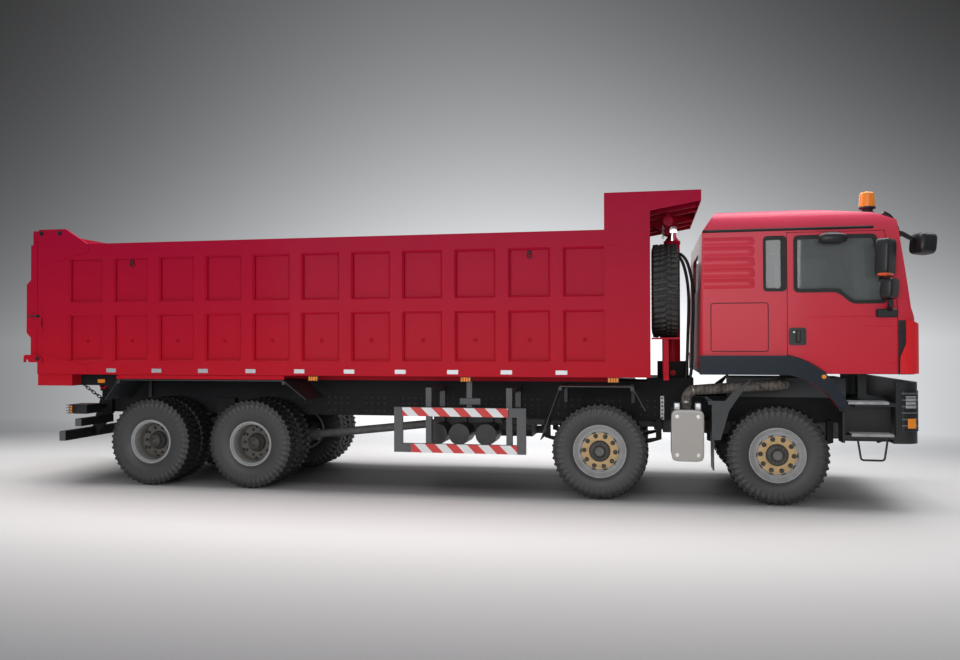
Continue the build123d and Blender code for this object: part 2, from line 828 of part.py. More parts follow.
def stage_radius(number):
    """Outer radius of the barrel (0) or of a stage."""
    return barrel_radius - number * (tube_wall + stage_clear)


def make_barrel():
    outer = bar_z(hoist_x, 0, barrel_radius, barrel_bottom, barrel_top)
    bore = bar_z(hoist_x, 0, barrel_radius - tube_wall, barrel_bottom + foot_cap, barrel_top + overrun)
    reach = cradle_inside + cradle_plate
    trunnion = bar_y(hoist_x, hoist_foot_z, trunnion_radius, -reach, reach)
    shell = fused(outer, trunnion) - bore
    ring = bar_z(hoist_x, 0, barrel_radius + tube_wall, barrel_top - foot_cap, barrel_top)
    return fused(shell, ring) - bore


def make_stage(number):
    radius = stage_radius(number)
    low = barrel_bottom + foot_cap + number * stage_clear
    high = barrel_top + number * stage_show
    outer = bar_z(hoist_x, 0, radius, low, high)
    if number < stages:
        bore = bar_z(hoist_x, 0, radius - tube_wall, low + stage_clear, high + overrun)
        return outer - bore
    eye_low = hoist_eye_z - cross_tube_radius
    neck = bar_z(hoist_x, 0, radius, high, eye_low)
    head = block(hoist_x - eye_block, hoist_x + eye_block, -eye_block, eye_block, eye_low,
                 hoist_eye_z + eye_low_top)
    cross = bar_y(hoist_x, hoist_eye_z, cross_tube_radius, -cross_tube_reach, cross_tube_reach)
    return fused(outer, neck, head, cross)


eye_low_top = 40

# Cab: side outline, front outline and plan give the outer skin, and the same drawn smaller the inner
cab_wall = 45
# corners of the side outline (x, z)
brow_x, brow_z = 1243, 3172
pillar_foot_x, pillar_foot_z = 1388, 2206
cab_side = [(cab_rear, cab_bottom), (-812, 3090), (-661, 3318), (325, 3331), (1012, 3265), (brow_x, brow_z),
            (pillar_foot_x, pillar_foot_z), (cab_front, 2060), (1440, cab_bottom)]
# how far the windshield's pillars lean back for each millimetre of height
pillar_lean_share = (pillar_foot_x - brow_x) / (brow_z - pillar_foot_z)
roof_side_radius = 230
plan_corner = 150
rear_corner = 60
sill_top_z = 1684
cab_top = 3331
split_front = door_front + running_gap


def cab_form(inset):
    """The cab's skin moved inwards by inset, as one solid."""
    side_face = offset(make_face(Polyline(*cab_side, close=True)), amount=-inset) if inset else \
        make_face(Polyline(*cab_side, close=True))
    side_solid = Rot(90, 0, 0) * Pos(0, 0, -cab_half_width) * \
        extrude(side_face, amount=2 * cab_half_width)
    half = cab_half_width - inset
    low, high = cab_bottom + inset, cab_top - inset
    centre = (low + high) / 2
    front_face = Pos(0, centre) * Rectangle(2 * half, high - low)
    top_corners = front_face.vertices().sort_by(Axis.Y)[-2:]
    front_face = fillet(top_corners, roof_side_radius - inset)
    reach = cab_front - cab_rear
    front_solid = Pos(cab_rear, 0, 0) * (Plane.YZ * extrude(front_face, amount=reach))
    plan_face = Pos((cab_front + cab_rear) / 2, 0) * Rectangle(reach - 2 * inset, 2 * half)
    corners = plan_face.vertices().sort_by(Axis.X)
    plan_face = fillet(corners[-2:], plan_corner - inset)
    corners = plan_face.vertices().sort_by(Axis.X)
    plan_face = fillet(corners[:2], rear_corner - inset)
    plan_solid = Pos(0, 0, cab_bottom) * extrude(plan_face, amount=cab_top - cab_bottom)
    return side_solid & front_solid & plan_solid


# Door and window outlines (x, z)
door_top = 3052
roof_seam = 28
split_roof = door_top + roof_seam
door_bottom = 1485
fender_outer = [(113, 1685), (480, 1500), (736, 1116)]
fender_inner = [(111, 1468), (430, 1330), (628, 1115)]
fender_start = 60
fender_depth = 100
fender_proud = 35
door_window = [(200, 2414), (646, 2414), (789, 2284), (1106, 2284), (1009, 2992), (200, 2992)]
quarter_window = [(-139, 2416), (52, 2416), (52, 3005), (-139, 3005)]
window_corner = 40
windshield_low = 2235
windshield_high = 3100
windshield_half = 1060
windshield_rear = 1190
rear_window_half = 560
rear_window_low = 2450
rear_window_high = 2900
glass_thick = 6


def rounded(outline, radius):
    """A closed face in XZ with rounded corners."""
    face = make_face(Polyline(*outline, close=True))
    return Rot(90, 0, 0) * fillet(face.vertices(), radius)


def through_side(face, side):
    """A face in XZ carried through one side of the cab."""
    return Pos(0, side * cab_side_depth if side < 0 else cab_half_width - cab_wall, 0) * \
        extrude(face, amount=2 * cab_wall, dir=(0, 1, 0))


cab_side_depth = cab_half_width + cab_wall


def door_face(grow):
    """The door's outline, its front edge leaning with the pillar, its rear foot cut round the arch."""
    front, rear, top, low = door_front + grow, door_rear - grow, door_top + grow, door_bottom - grow
    lean_x = front - pillar_lean_share * (top - pillar_foot_z)
    arch_z = fender_outer[0][1] + running_gap - grow
    middle = ((door_rear + door_foot) / 2 + door_arc_bulge, door_arc_z + running_gap - grow)
    lines = [Line((front, low), (front, pillar_foot_z)), Line((front, pillar_foot_z), (lean_x, top)),
             Line((lean_x, top), (rear, top)), Line((rear, top), (rear, arch_z)),
             ThreePointArc((rear, arch_z), middle, (door_foot, low)), Line((door_foot, low), (front, low))]
    return Rot(90, 0, 0) * make_face(lines)


door_foot = 520
door_arc_bulge = 22
door_arc_z = 1606


def cab_glass_piece(face, side, depth):
    """A pane in the middle of the wall."""
    centre = side * (cab_half_width - cab_wall / 2)
    return Pos(0, centre - glass_thick / 2, 0) * extrude(face, amount=glass_thick, dir=(0, 1, 0))


def make_cab_shell():
    """The hollow skin with its doors and windows cut."""
    shell = cab_form(0) - cab_form(cab_wall)
    for side in (-1, 1):
        shell = shell - through_side(door_face(running_gap), side)
        shell = shell - through_side(rounded(quarter_window, window_corner), side)
    shell = shell - window_bar(windshield_half, windshield_low, windshield_high, windshield_rear,
                               cab_front + overrun)
    return shell - window_bar(rear_window_half, rear_window_low, rear_window_high, cab_rear - overrun,
                              cab_rear + 2 * cab_wall)


def window_bar(half, low, high, x0, x1):
    """A window's rounded outline, seen from the front, carried from x0 to x1."""
    pane = Pos(0, (high + low) / 2) * Rectangle(2 * half, high - low)
    pane = fillet(pane.vertices(), 2 * window_corner)
    return Pos(x0, 0, 0) * (Plane.YZ * extrude(pane, amount=x1 - x0))


def arch_strip(side):
    """The dark arch that runs down from the sill in front of the wheel."""
    outer, inner = fender_outer, fender_inner
    lines = [Line((fender_start, inner[0][1]), (fender_start, outer[0][1])),
             Line((fender_start, outer[0][1]), outer[0]), ThreePointArc(*outer), Line(outer[2], inner[2]),
             ThreePointArc(inner[2], inner[1], inner[0]), Line(inner[0], (fender_start, inner[0][1]))]
    face = Rot(90, 0, 0) * make_face(lines)
    outer = cab_half_width + fender_proud
    y = outer - fender_depth if side > 0 else -outer
    return Pos(0, y, 0) * extrude(face, amount=fender_depth, dir=(0, 1, 0))


def sill_strip(side):
    """The dark sill behind the door."""
    outer = cab_half_width + fender_proud
    return block(cab_rear, fender_start, side * (outer - fender_depth), side * outer, fender_inner[0][1],
                 sill_top_z)


# Grille: rows of slots in the cab's front
grille_half = 740
grille_bottom = 1620
grille_slot = 46
grille_pitch = 74
grille_rows = 5
grille_depth = 22


def grille_slots():
    """Long slots with round ends, one above the other."""
    slots = []
    for row in range(grille_rows):
        face = Pos(0, grille_bottom + row * grille_pitch) * SlotOverall(2 * grille_half, grille_slot)
        slots.append(Pos(cab_front - grille_depth, 0, 0) * (Plane.YZ * extrude(face, amount=2 * grille_depth)))
    return slots


def cab_ears(side):
    """An arm that runs back and up from the pin, so that it clears the bumper when the cab tilts."""
    y0 = side * cab_ear_y
    y1 = y0 + side * cab_ear
    front = cab_pin_x - cab_ear_back
    rear = front - 2 * cab_ear_radius
    outline = [(cab_pin_x, cab_pin_z - cab_ear_radius), (cab_pin_x, cab_pin_z + cab_ear_radius),
               (front, cab_pin_z + 2 * cab_ear_radius), (front, cab_bottom), (rear, cab_bottom),
               (rear, cab_pin_z + cab_ear_radius)]
    ear = fused(side_plate(outline, y0, y1), bar_y(cab_pin_x, cab_pin_z, cab_ear_radius, y0, y1))
    return ear - bar_y(cab_pin_x, cab_pin_z, cab_pin_radius + seat_gap, y0 - overrun, y1 + overrun)


def cab_regions():
    """Boxes that split the skin where the real panels meet."""
    far = 2 * cab_half_width
    low, high = cab_bottom, cab_top
    floor_top = cab_bottom + cab_wall
    top_x = split_front - pillar_lean_share * (split_roof - pillar_foot_z)
    ahead = cab_front + overrun
    front_outline = [(split_front, floor_top), (ahead, floor_top), (ahead, split_roof), (top_x, split_roof),
                     (split_front, pillar_foot_z)]
    return {
        "cab_floor": block(cab_rear, cab_front, -far, far, low, floor_top),
        "cab_roof": block(cab_rear, cab_front, -far, far, split_roof, high),
        "cab_front": side_plate(front_outline, -far, far),
    }


def make_cab(shell):
    """The cab's panels by node name."""
    regions = cab_regions()
    panels = {name: shell & region for name, region in regions.items()}
    floor_top = cab_bottom + cab_wall
    far = 2 * cab_half_width
    region = block(cab_rear, cab_front, -far, far, floor_top, split_roof) - regions["cab_front"]
    trims = [fused(sill_strip(side), arch_strip(side)) - cab_form(0) - door_swing(side) for side in (-1, 1)]
    panels["cab_walls"] = fused(shell & region, *trims)
    panels["cab_floor"] = fused(panels["cab_floor"], cab_ears(-1), cab_ears(1))
    return panels


def door_swing(side):
    """Room that the trim leaves round the door."""
    y = -2 * cab_half_width if side < 0 else 0
    return Pos(0, y, 0) * extrude(door_face(running_gap), amount=2 * cab_half_width, dir=(0, 1, 0))


def make_door(form, side):
    """The door is the piece of the skin inside its outline, with its window cut."""
    leaf = form & through_side(door_face(0), side)
    window = rounded(door_window, window_corner)
    return leaf - through_side(window, side)


def make_door_glass(side):
    return cab_glass_piece(rounded(door_window, window_corner), side, cab_wall)


def make_cab_glass():
    """Windshield, quarter windows and rear window."""
    panes = [cab_glass_piece(rounded(quarter_window, window_corner), side, cab_wall) for side in (-1, 1)]
    centre = cab_wall / 2
    skin = cab_form(centre - glass_thick / 2) - cab_form(centre + glass_thick / 2)
    panes.append(skin & window_bar(windshield_half, windshield_low, windshield_high, windshield_rear,
                                   cab_front + overrun))
    panes.append(skin & window_bar(rear_window_half, rear_window_low, rear_window_high, cab_rear - overrun,
                                   cab_rear + 2 * cab_wall))
    return panes


# Inside the cab
seat_y = 620
seat_half_width = 260
seat_rear = 20
seat_front = 620
seat_base_top = 1950
cushion_thick = 150
back_thick = 140
back_top = 2800
seat_base_inset = 40
bunk_rear = -780
bunk_front = -180
bunk_half = 1100
dash_rear = 1010
dash_bottom = 1900
dash_top = 2170
dash_half = 1120
column_radius = 35
steering_radius = 230
steering_rim = 16
steering_x = 860
steering_z = 2210
steering_tilt = 35


def seat(y):
    floor_top = cab_bottom + cab_wall
    half = seat_half_width - seat_base_inset
    base = block(seat_rear + seat_base_inset, seat_front - seat_base_inset, y - half, y + half, floor_top,
                 seat_base_top)
    cushion = block(seat_rear, seat_front, y - seat_half_width, y + seat_half_width, seat_base_top,
                    seat_base_top + cushion_thick)
    cushion = fillet(cushion.edges().filter_by(Axis.Z), seat_base_inset)
    back = block(seat_rear - back_thick, seat_rear, y - seat_half_width, y + seat_half_width,
                 seat_base_top, back_top)
    back = fillet(back.edges().filter_by(Axis.X), seat_base_inset)
    return fused(base, cushion, back)


def make_bunk():
    floor_top = cab_bottom + cab_wall
    return block(bunk_rear, bunk_front, -bunk_half, bunk_half, floor_top, seat_base_top)


def make_dash():
    """The dashboard with its column and steering wheel on the driver's side."""
    desk = block(dash_rear, cab_front, -dash_half, dash_half, dash_bottom, dash_top) & \
        cab_form(cab_wall + seat_gap)
    tilt = math.radians(steering_tilt)
    hub = Plane(origin=(steering_x, seat_y, steering_z), z_dir=(-math.sin(tilt), 0, math.cos(tilt)))
    ring = hub * Torus(steering_radius, steering_rim)
    centre = hub * Cylinder(column_radius * 2, column_radius)
    spokes = hub * Box(2 * steering_radius, column_radius, steering_rim)
    column = cone_between(Vector(steering_x, seat_y, steering_z),
                          Vector(dash_rear + column_radius, seat_y, (dash_bottom + dash_top) / 2),
                          column_radius)
    return fused(desk, column, centre, spokes, ring)


# Roof beacon and sun visor
beacon_x = 1042
beacon_y = -800
beacon_radius = 92
beacon_foot_z = 3200
beacon_base_top = 3364
beacon_top = 3542
beacon_step = 14
visor_rear, visor_top = 1184, 3297
visor_knee_x, visor_knee_z = 1290, 3225
visor_front, visor_bottom = 1362, 3015
visor_half = 960
visor_thick = 14
visor_arm = 30
visor_arm_y = 700
visor_arm_z = 3170


# Mirrors
mirror_arm_radius = 14
mirror_y = 1365
mirror_half_width = 120
mirror_thick = 120
mirror_turn = 35
mirror_x = 1090
# bottom and top of the tall mirror and of the wide one
mirror_levels = [(2542, 2940), (2305, 2516)]


def door_mirrors(side):
    """A tall mirror over a small one, on a bar that stands off the door. The left set mirrors the right."""
    x, y = mirror_x, -mirror_y
    pieces = []
    for low, high in mirror_levels:
        shell = block(-mirror_thick / 2, mirror_thick / 2, -mirror_half_width, mirror_half_width, low, high)
        shell = fillet(shell.edges().filter_by(Axis.Z).sort_by(Axis.X)[-2:], mirror_corner)
        pieces.append(Pos(x, y, 0) * Rot(0, 0, -mirror_turn) * shell)
    high = mirror_levels[0][1]
    pieces.append(bar_z(x, y, mirror_arm_radius, mirror_arm_low - mirror_arm_radius, high))
    for z in (mirror_arm_low, high - mirror_inset):
        pieces.append(bar_y(x, z, mirror_arm_radius, -(cab_half_width + seat_gap), y))
    right = fused(*pieces)
    return right if side < 0 else mirror(right, about=Plane.XZ)


mirror_corner = 40
mirror_inset = 40
mirror_arm_low = 2240
front_mirror_y = -1020
front_mirror_low = 2785
front_mirror_high = 3040
front_mirror_half = 130
front_mirror_rear = 1450


def make_beacon():
    """An amber dome on its black base, on the roof over the kerb side."""
    base = bar_z(beacon_x, beacon_y, beacon_radius, beacon_foot_z, beacon_base_top)
    dome = bar_z(beacon_x, beacon_y, beacon_radius - beacon_step, beacon_base_top, beacon_top)
    return fused(base, dome) - cab_form(0)


def make_visor():
    """A curved sheet across the top of the windshield, on two arms."""
    t = visor_thick
    lines = [ThreePointArc((visor_rear, 0, visor_top), (visor_knee_x, 0, visor_knee_z),
                           (visor_front, 0, visor_bottom)),
             Line((visor_front, 0, visor_bottom), (visor_front - t, 0, visor_bottom)),
             ThreePointArc((visor_front - t, 0, visor_bottom), (visor_knee_x - t, 0, visor_knee_z - t),
                           (visor_rear, 0, visor_top - t)),
             Line((visor_rear, 0, visor_top - t), (visor_rear, 0, visor_top))]
    sheet = side_plate(make_face(lines), -visor_half, visor_half)
    arms = [block(brow_x - visor_arm, visor_knee_x + visor_thick, side * visor_arm_y, side * (visor_arm_y + visor_arm),
                  visor_arm_z, visor_arm_z + visor_arm) for side in (-1, 1)]
    return fused(sheet, *arms) - cab_form(0)


def make_front_mirror():
    """The mirror in front of the windshield's kerb side, on its arm from the brow."""
    shell = block(front_mirror_rear, front_mirror_reach, front_mirror_y - front_mirror_half,
                  front_mirror_y + front_mirror_half, front_mirror_low, front_mirror_high)
    shell = fillet(shell.edges().filter_by(Axis.Z), mirror_corner)
    x = front_mirror_rear + mirror_inset
    post = bar_z(x, front_mirror_y, mirror_arm_radius, front_mirror_low + mirror_inset, brow_arm_z)
    arm = bar_x(front_mirror_y, brow_arm_z, mirror_arm_radius, brow_arm_x, x)
    return fused(shell, post, arm) - cab_form(0)


brow_arm_z = 3100
brow_arm_x = 1230


# Bumper with corner steps
bumper_top = 1396
bumper_bottom = 727
bumper_front = 1474
bumper_rear = 1216
bumper_wall = 55
bumper_corner = 170
bumper_half = 1220
step_rear = 672
step_inner = 1000
step_tread = 40
# treads: level and rear end
step_levels = [(1165, 800), (813, 697)]
step_back = 25
step_foot = bumper_bottom


def make_bumper():
    """The bumper wraps round the corners and is open behind."""
    reach = bumper_front - bumper_rear
    plan = Pos((bumper_front + bumper_rear) / 2, 0) * Rectangle(reach, 2 * bumper_half)
    plan = fillet(plan.vertices().sort_by(Axis.X)[-2:], bumper_corner)
    inner = Pos(-bumper_wall, 0) * Rectangle(reach, 2 * bumper_half - 2 * bumper_wall)
    inner = Pos((bumper_front + bumper_rear) / 2, 0) * inner
    inner = fillet(inner.vertices().sort_by(Axis.X)[-2:], bumper_corner - bumper_wall)
    outer_solid = Pos(0, 0, bumper_bottom) * extrude(plan, amount=bumper_top - bumper_bottom)
    inner_solid = Pos(0, 0, bumper_bottom - overrun) * \
        extrude(inner, amount=bumper_top - bumper_bottom + 2 * overrun)
    return outer_solid - inner_solid


def cab_step(side):
    """Two treads between end plates, under the door."""
    y0, y1 = side * step_inner, side * bumper_half
    upper, lower = step_levels[0][0], step_levels[1][0]
    pieces = [block(step_rear, bumper_rear, y0, y0 + side * step_back, step_foot, upper)]
    for z, rear in step_levels:
        pieces.append(block(rear, bumper_rear, y0, y1, z - step_tread, z))
    for x in (step_rear, bumper_rear - step_back):
        pieces.append(block(x, x + step_back, y0, y1, step_foot, lower))
    pieces.append(block(step_rear, step_rear + step_back, y0, y1, lower - step_tread, step_arch_top))
    y = (y0 + y1) / 2
    low = lower - step_tread / 2
    front, rear = stirrup_front, stirrup_rear
    loop = [(rear, y, low), (rear + stirrup_lean, y, stirrup_z), (front - stirrup_lean, y, stirrup_z),
            (front, y, low)]
    pieces.append(tube(loop, stirrup_radius, stirrup_bend))
    beam_z = (frame_bottom + frame_top) / 2
    pieces.append(block(step_beam_x, step_beam_x + step_beam, side * frame_half_width, y0, beam_z,
                        beam_z + step_beam))
    return fused(*pieces)


# the hanging stirrup under the lower tread
stirrup_rear = 846
stirrup_front = 1166
stirrup_lean = 40
stirrup_z = 527
stirrup_radius = 11
stirrup_bend = 35
step_beam_x = 1010
step_beam = 70
step_arch_top = 1060

# Tow lugs under the front ends of the rails
tow_y = 386
tow_thick = 30
tow_x = 1262
tow_z = 690
tow_bore = 22
tow_radius = 52
tow_root = 60


def tow_lug(side):
    """A plate that hangs from the rail's end, with a bore across the truck."""
    y0, y1 = side * (tow_y - tow_thick / 2), side * (tow_y + tow_thick / 2)
    root, half = rail_front - rail_flange, tow_radius / 2
    outline = [(root, frame_bottom), (root, frame_bottom - tow_root), (tow_x - half, tow_z - tow_radius),
               (tow_x + tow_radius, tow_z - half), (tow_x + tow_radius, tow_z + tow_radius),
               (rail_front, frame_bottom)]
    eye = bar_y(tow_x, tow_z, tow_bore, y0 - side * overrun, y1 + side * overrun)
    return side_plate(outline, y0, y1) - eye


# Exhaust: a lagged pipe under the cab down to the silencer behind the first wheel
silencer_rear = -1153
silencer_front = -806
silencer_bottom = 475
silencer_top = 1057
silencer_outer = -1150
silencer_inner = -540
silencer_corner = 40
pipe_radius = 55
pipe_bend = 110
pipe_front = 150
pipe_bite = 20
# the lagged pipe's route (x, y, z)
pipe_route = [(pipe_front, -engine_half_width, 1340), (pipe_front, -800, 1340), (-980, -900, 1270),
              (-980, -900, silencer_top - pipe_bite)]


def make_exhaust():
    """The silencer box, its bracket to the rail, and the pipe."""
    box = block(silencer_rear, silencer_front, silencer_outer, silencer_inner, silencer_bottom,
                silencer_top)
    box = fillet(box.edges().filter_by(Axis.Y), silencer_corner)
    arm = block(silencer_rear + silencer_corner, silencer_front - silencer_corner, silencer_inner,
                -frame_half_width, frame_bottom, silencer_top)
    return fused(box, arm, tube(pipe_route, pipe_radius, pipe_bend))


# Side equipment: guard frames, air tanks on the right, fuel tank on the left
guard_rear = -4459
guard_front = -2838
guard_bottom = 508
guard_top = 1055
guard_bar = 110
guard_thick = 30
guard_y = 1200
# posts and tanks along the guard, from its rear end to its front end
guard_post_shares = [0.263, 0.873]
guard_post = 70
guard_post_top = 1290
guard_foot = 1010
tank_shares = [0.278, 0.453, 0.663]
tank_radius = 132
tank_z = 696
tank_outer = -860
tank_band = 60
fuel_rear = -4300
fuel_front = -3000
fuel_inner = 520
fuel_outer = 1090
fuel_bottom = 520
fuel_top = 1090
fuel_corner = 110
fuel_arm_shares = [0.2, 0.8]


def along_guard(share):
    return guard_rear + share * (guard_front - guard_rear)


def side_guard(side):
    """Two bars with upright ends, on posts that carry them from the rail."""
    y0, y1 = side * (guard_y - guard_thick), side * guard_y
    pieces = [block(guard_rear, guard_front, y0, y1, guard_top - guard_bar, guard_top),
              block(guard_rear, guard_front, y0, y1, guard_bottom, guard_bottom + guard_bar),
              block(guard_rear, guard_rear + guard_bar, y0, y1, guard_bottom, guard_top),
              block(guard_front - guard_bar, guard_front, y0, y1, guard_bottom, guard_top)]
    for share in guard_post_shares:
        x = along_guard(share)
        pieces.append(block(x - guard_post / 2, x + guard_post / 2, y0 - side * guard_post, y0,
                            guard_bottom, guard_post_top))
        pieces.append(block(x - guard_post / 2, x + guard_post / 2, side * frame_half_width, y0,
                            guard_post_top - guard_post, guard_post_top))
        pieces.append(block(x - guard_post / 2, x + guard_post / 2, side * frame_half_width,
                            side * (frame_half_width + guard_thick), guard_foot, guard_post_top))
    return fused(*pieces)


def make_air_tanks():
    """Three round tanks across the truck, hung from the rail by one carrier."""
    root = -frame_half_width - tank_band
    stations = [along_guard(share) for share in tank_shares]
    tanks = [bar_y(x, tank_z, tank_radius, root, tank_outer) for x in stations]
    rear, front = stations[0] - tank_radius, stations[-1] + tank_radius
    carrier = block(rear, front,
                    -frame_half_width - tank_band, -frame_half_width, frame_bottom - tank_band,
                    frame_bottom + tank_band)
    hangers = [block(x - tank_band / 2, x + tank_band / 2, -frame_half_width - 2 * tank_band,
                     -frame_half_width, tank_z, frame_bottom + tank_band) for x in stations]
    return fused(*tanks, carrier, *hangers)


def make_fuel_tank():
    """A rounded tank on the left with its brackets to the rail."""
    tank = block(fuel_rear, fuel_front, fuel_inner, fuel_outer, fuel_bottom, fuel_top)
    tank = fillet(tank.edges().filter_by(Axis.X), fuel_corner)
    arms = []
    for share in fuel_arm_shares:
        x = fuel_rear + share * (fuel_front - fuel_rear)
        arms.append(block(x - tank_band / 2, x + tank_band / 2, frame_half_width, fuel_inner,
                          frame_bottom, fuel_top - fuel_corner))
    return fused(tank, *arms)


# Mudguards: a flap behind each first wheel, a tube frame over each second wheel, a long guard at the rear
flap_top_x = -697
flap_top_z = 1167
flap_bottom_x = -690
flap_bottom_z = 383
flap_thick = 16
flap_inner = 880
flap_outer = 1200
flap_arm = 40
second_guard = [(-2672, 688), (-2434, 1325), (-1603, 1325), (-1446, 1046)]
guard_tube = 20
guard_bend = 120
guard_outer = 1195
guard_inner = 880
guard_sheet = 6
rear_guard = [(-8409, 1094), (-8206, 1365), (-5905, 1365), (-5598, 1126)]
rear_guard_inner = 560


def front_flap(side):
    outline = [(flap_top_x, flap_top_z), (flap_top_x - flap_thick, flap_top_z),
               (flap_bottom_x - flap_thick, flap_bottom_z), (flap_bottom_x, flap_bottom_z)]
    sheet = side_plate(outline, side * flap_inner, side * flap_outer)
    fairing = side_plate(fairing_outline, side * (flap_outer - flap_thick), side * flap_outer)
    arm = block(flap_top_x - flap_thick - flap_arm, flap_top_x - flap_thick * flap_bite_share,
                side * frame_half_width, side * flap_outer, flap_top_z - flap_arm, flap_top_z)
    return fused(sheet, arm, fairing)


flap_bite_share = 0.5
# the fairing behind the first wheel, seen from the side (x, z)
fairing_outline = [(-714, 727), (-620, 727), (-526, 1058), (-400, 1250), (-275, 1426), (-492, 1261),
                   (-569, 1170), (-714, 1170)]


def arch_guard(route, thick, y0, y1):
    """A bent sheet over a wheel."""
    upper = list(route)
    low = [(x, z - thick) for x, z in route]
    low[0] = (route[0][0] + thick, route[0][1])
    low[-1] = (route[-1][0] - thick, route[-1][1])
    return side_plate(upper + list(reversed(low)), y0, y1)


def second_mudguard(side):
    sheet = arch_guard(second_guard, guard_sheet * 2, side * guard_inner, side * guard_outer)
    arms = []
    for x, z in second_guard[1:3]:
        top = z - guard_sheet * 2
        arms.append(block(x - guard_tube, x + guard_tube, side * frame_half_width, side * guard_outer,
                          top - 2 * guard_tube, top))
        arms.append(block(x - guard_tube, x + guard_tube, side * frame_half_width,
                          side * (frame_half_width + 2 * guard_tube), frame_top - rail_flange, top))
    return fused(sheet, *arms)


def rear_mudguard(side):
    sheet = arch_guard(rear_guard, guard_sheet * 2, side * rear_guard_inner, side * guard_outer)
    arms = []
    for x, z in rear_guard[1:3]:
        top = z - guard_sheet * 2
        arms.append(block(x - guard_tube, x + guard_tube, side * frame_half_width, side * guard_outer,
                          top - 2 * guard_tube, top))
        arms.append(block(x - guard_tube, x + guard_tube, side * frame_half_width,
                          side * (frame_half_width + 2 * guard_tube), frame_top - rail_flange, top))
    return fused(sheet, *arms)


# Rear underrun bar and lamp brackets
underrun_rear = -9127
underrun_bottom = 538
underrun_top = 665
underrun_thick = 90
underrun_half = 1120
underrun_post = 70
underrun_post_y = 390
second_bar_rear = -8890
second_bar_bottom = 735
second_bar_depth = 100
lamp_bar_x = -8920
lamp_bar_z = 960
lamp_bar = 45
lamp_half = 1130
lamp_width = 330
lamp_height = 110
lamp_depth = 60


def make_underrun():
    """The bar on two posts, and the cross bar that carries the lamps."""
    bar = block(underrun_rear, underrun_rear + underrun_thick, -underrun_half, underrun_half,
                underrun_bottom, underrun_top)
    pieces = [bar]
    for side in (-1, 1):
        y0, y1 = side * frame_half_width, side * (frame_half_width + underrun_post)
        middle, high = underrun_rear + underrun_thick / 2, frame_top - rail_flange
        front = lamp_bar_x + 2 * underrun_post
        outline = [(middle, underrun_bottom), (underrun_rear + underrun_thick, underrun_bottom),
                   (front, frame_bottom), (front, high), (lamp_bar_x - underrun_post / 2, high),
                   (middle, underrun_top)]
        pieces.append(side_plate(outline, y0, y1))
        pieces.append(block(second_bar_rear, second_bar_rear + underrun_thick, side * frame_half_width,
                            side * underrun_half, second_bar_bottom, second_bar_bottom + second_bar_depth))
        pieces.append(block(lamp_bar_x, lamp_bar_x + lamp_bar, side * frame_half_width, side * lamp_half,
                            lamp_bar_z - lamp_bar / 2, lamp_bar_z + lamp_bar / 2))
        pieces.append(block(lamp_bar_x - lamp_depth, lamp_bar_x, side * (lamp_half - lamp_width),
                            side * lamp_half, lamp_bar_z - lamp_height / 2, lamp_bar_z + lamp_height / 2))
    return fused(*pieces)


def main():
    """Builds and writes every node."""
    write("frame", make_frame())
    write("spare_rack", make_rack())
    write("spare_wheel", tyre_spare(), rim_spare())
    steered = axle_stations[:2]
    driven = axle_stations[2:]
    write("axles", *[steer_axle(x) for _, x in steered], *[drive_axle(x) for _, x in driven])
    springs = [front_spring(x, side) for _, x in steered for side in (-1, 1)]
    write("springs", *springs, *both_sides(bogie_spring))
    write("engine", make_engine())
    write("driveline", *make_driveline())
    for number, x in steered:
        for letter, side in (("r", -1), ("l", 1)):
            y = side * track_front / 2
            write(f"wheel_{number}{letter}", tyre_ring(x, y, tyre_radius), steered_rim(x, side))
            write(f"knuckle_{number}{letter}", knuckle(x, side))
        write(f"tie_rod_{number}", tie_rod(x))
    for number, x in driven:
        for letter, side in (("r", -1), ("l", 1)):
            places = [side * (track_rear + step * twin_spacing) / 2 for step in (-1, 1)]
            twins = [tyre_ring(x, y, tyre_radius) for y in places]
            write(f"wheels_{number}{letter}", *twins, twin_rims(x, side))
    write("bed_floor", make_floor())
    write("bed_side_right", side_wall(-1))
    write("bed_side_left", side_wall(1))
    write("headboard", make_headboard())
    write("gate_brackets", *both_sides(gate_bracket))
    write("tailgate", make_gate())
    write("gate_hinges", *both_sides(gate_hinge))
    write("hoist_barrel", make_barrel())
    for number in range(1, stages + 1):
        write(f"hoist_stage_{number}", make_stage(number))
    shell = make_cab_shell()
    for name, panel in make_cab(shell).items():
        write(name, panel - grille_slots() if name == "cab_front" else panel)
    form = cab_form(0) - cab_form(cab_wall)
    for side, name in ((-1, "right"), (1, "left")):
        write(f"door_{name}", make_door(form, side))
        write(f"door_glass_{name}", make_door_glass(side))
        write(f"mirrors_{name}", door_mirrors(side))
    write("cab_glass", *make_cab_glass())
    write("seats", seat(-seat_y), seat(seat_y), make_bunk())
    write("dash", make_dash())
    write("cab_fittings", make_front_mirror(), make_beacon(), make_visor())
    write("bumper", make_bumper(), *both_sides(cab_step))
    write("tow_lugs", *both_sides(tow_lug))
    write("exhaust", make_exhaust())
    write("side_guards", *both_sides(side_guard))
    write("tanks", make_air_tanks(), make_fuel_tank())
    write("mudguards", *both_sides(front_flap), *both_sides(second_mudguard), *both_sides(rear_mudguard))
    write("underrun", make_underrun())


def tyre_spare():
    """The spare lies upright across the truck, so its axis is along X."""
    return Pos(spare_x, spare_y, spare_z) * Rot(0, 0, 90) * tyre_ring(0, 0, 0)


def rim_spare():
    return Pos(spare_x, spare_y, spare_z) * Rot(0, 0, 90) * rim_ring(0, 0, 0, 1)


main()
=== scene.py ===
# %% [markdown]
# # A dump truck around its CAD frame
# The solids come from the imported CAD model, in metres, and never move. This file gives them paint, rubber and
# dust, and adds what a drawing leaves out: tread, nuts, seals, lamps and stripes. X runs forward, Y to the
# truck's left and Z up.

# %% Load the frame
import math

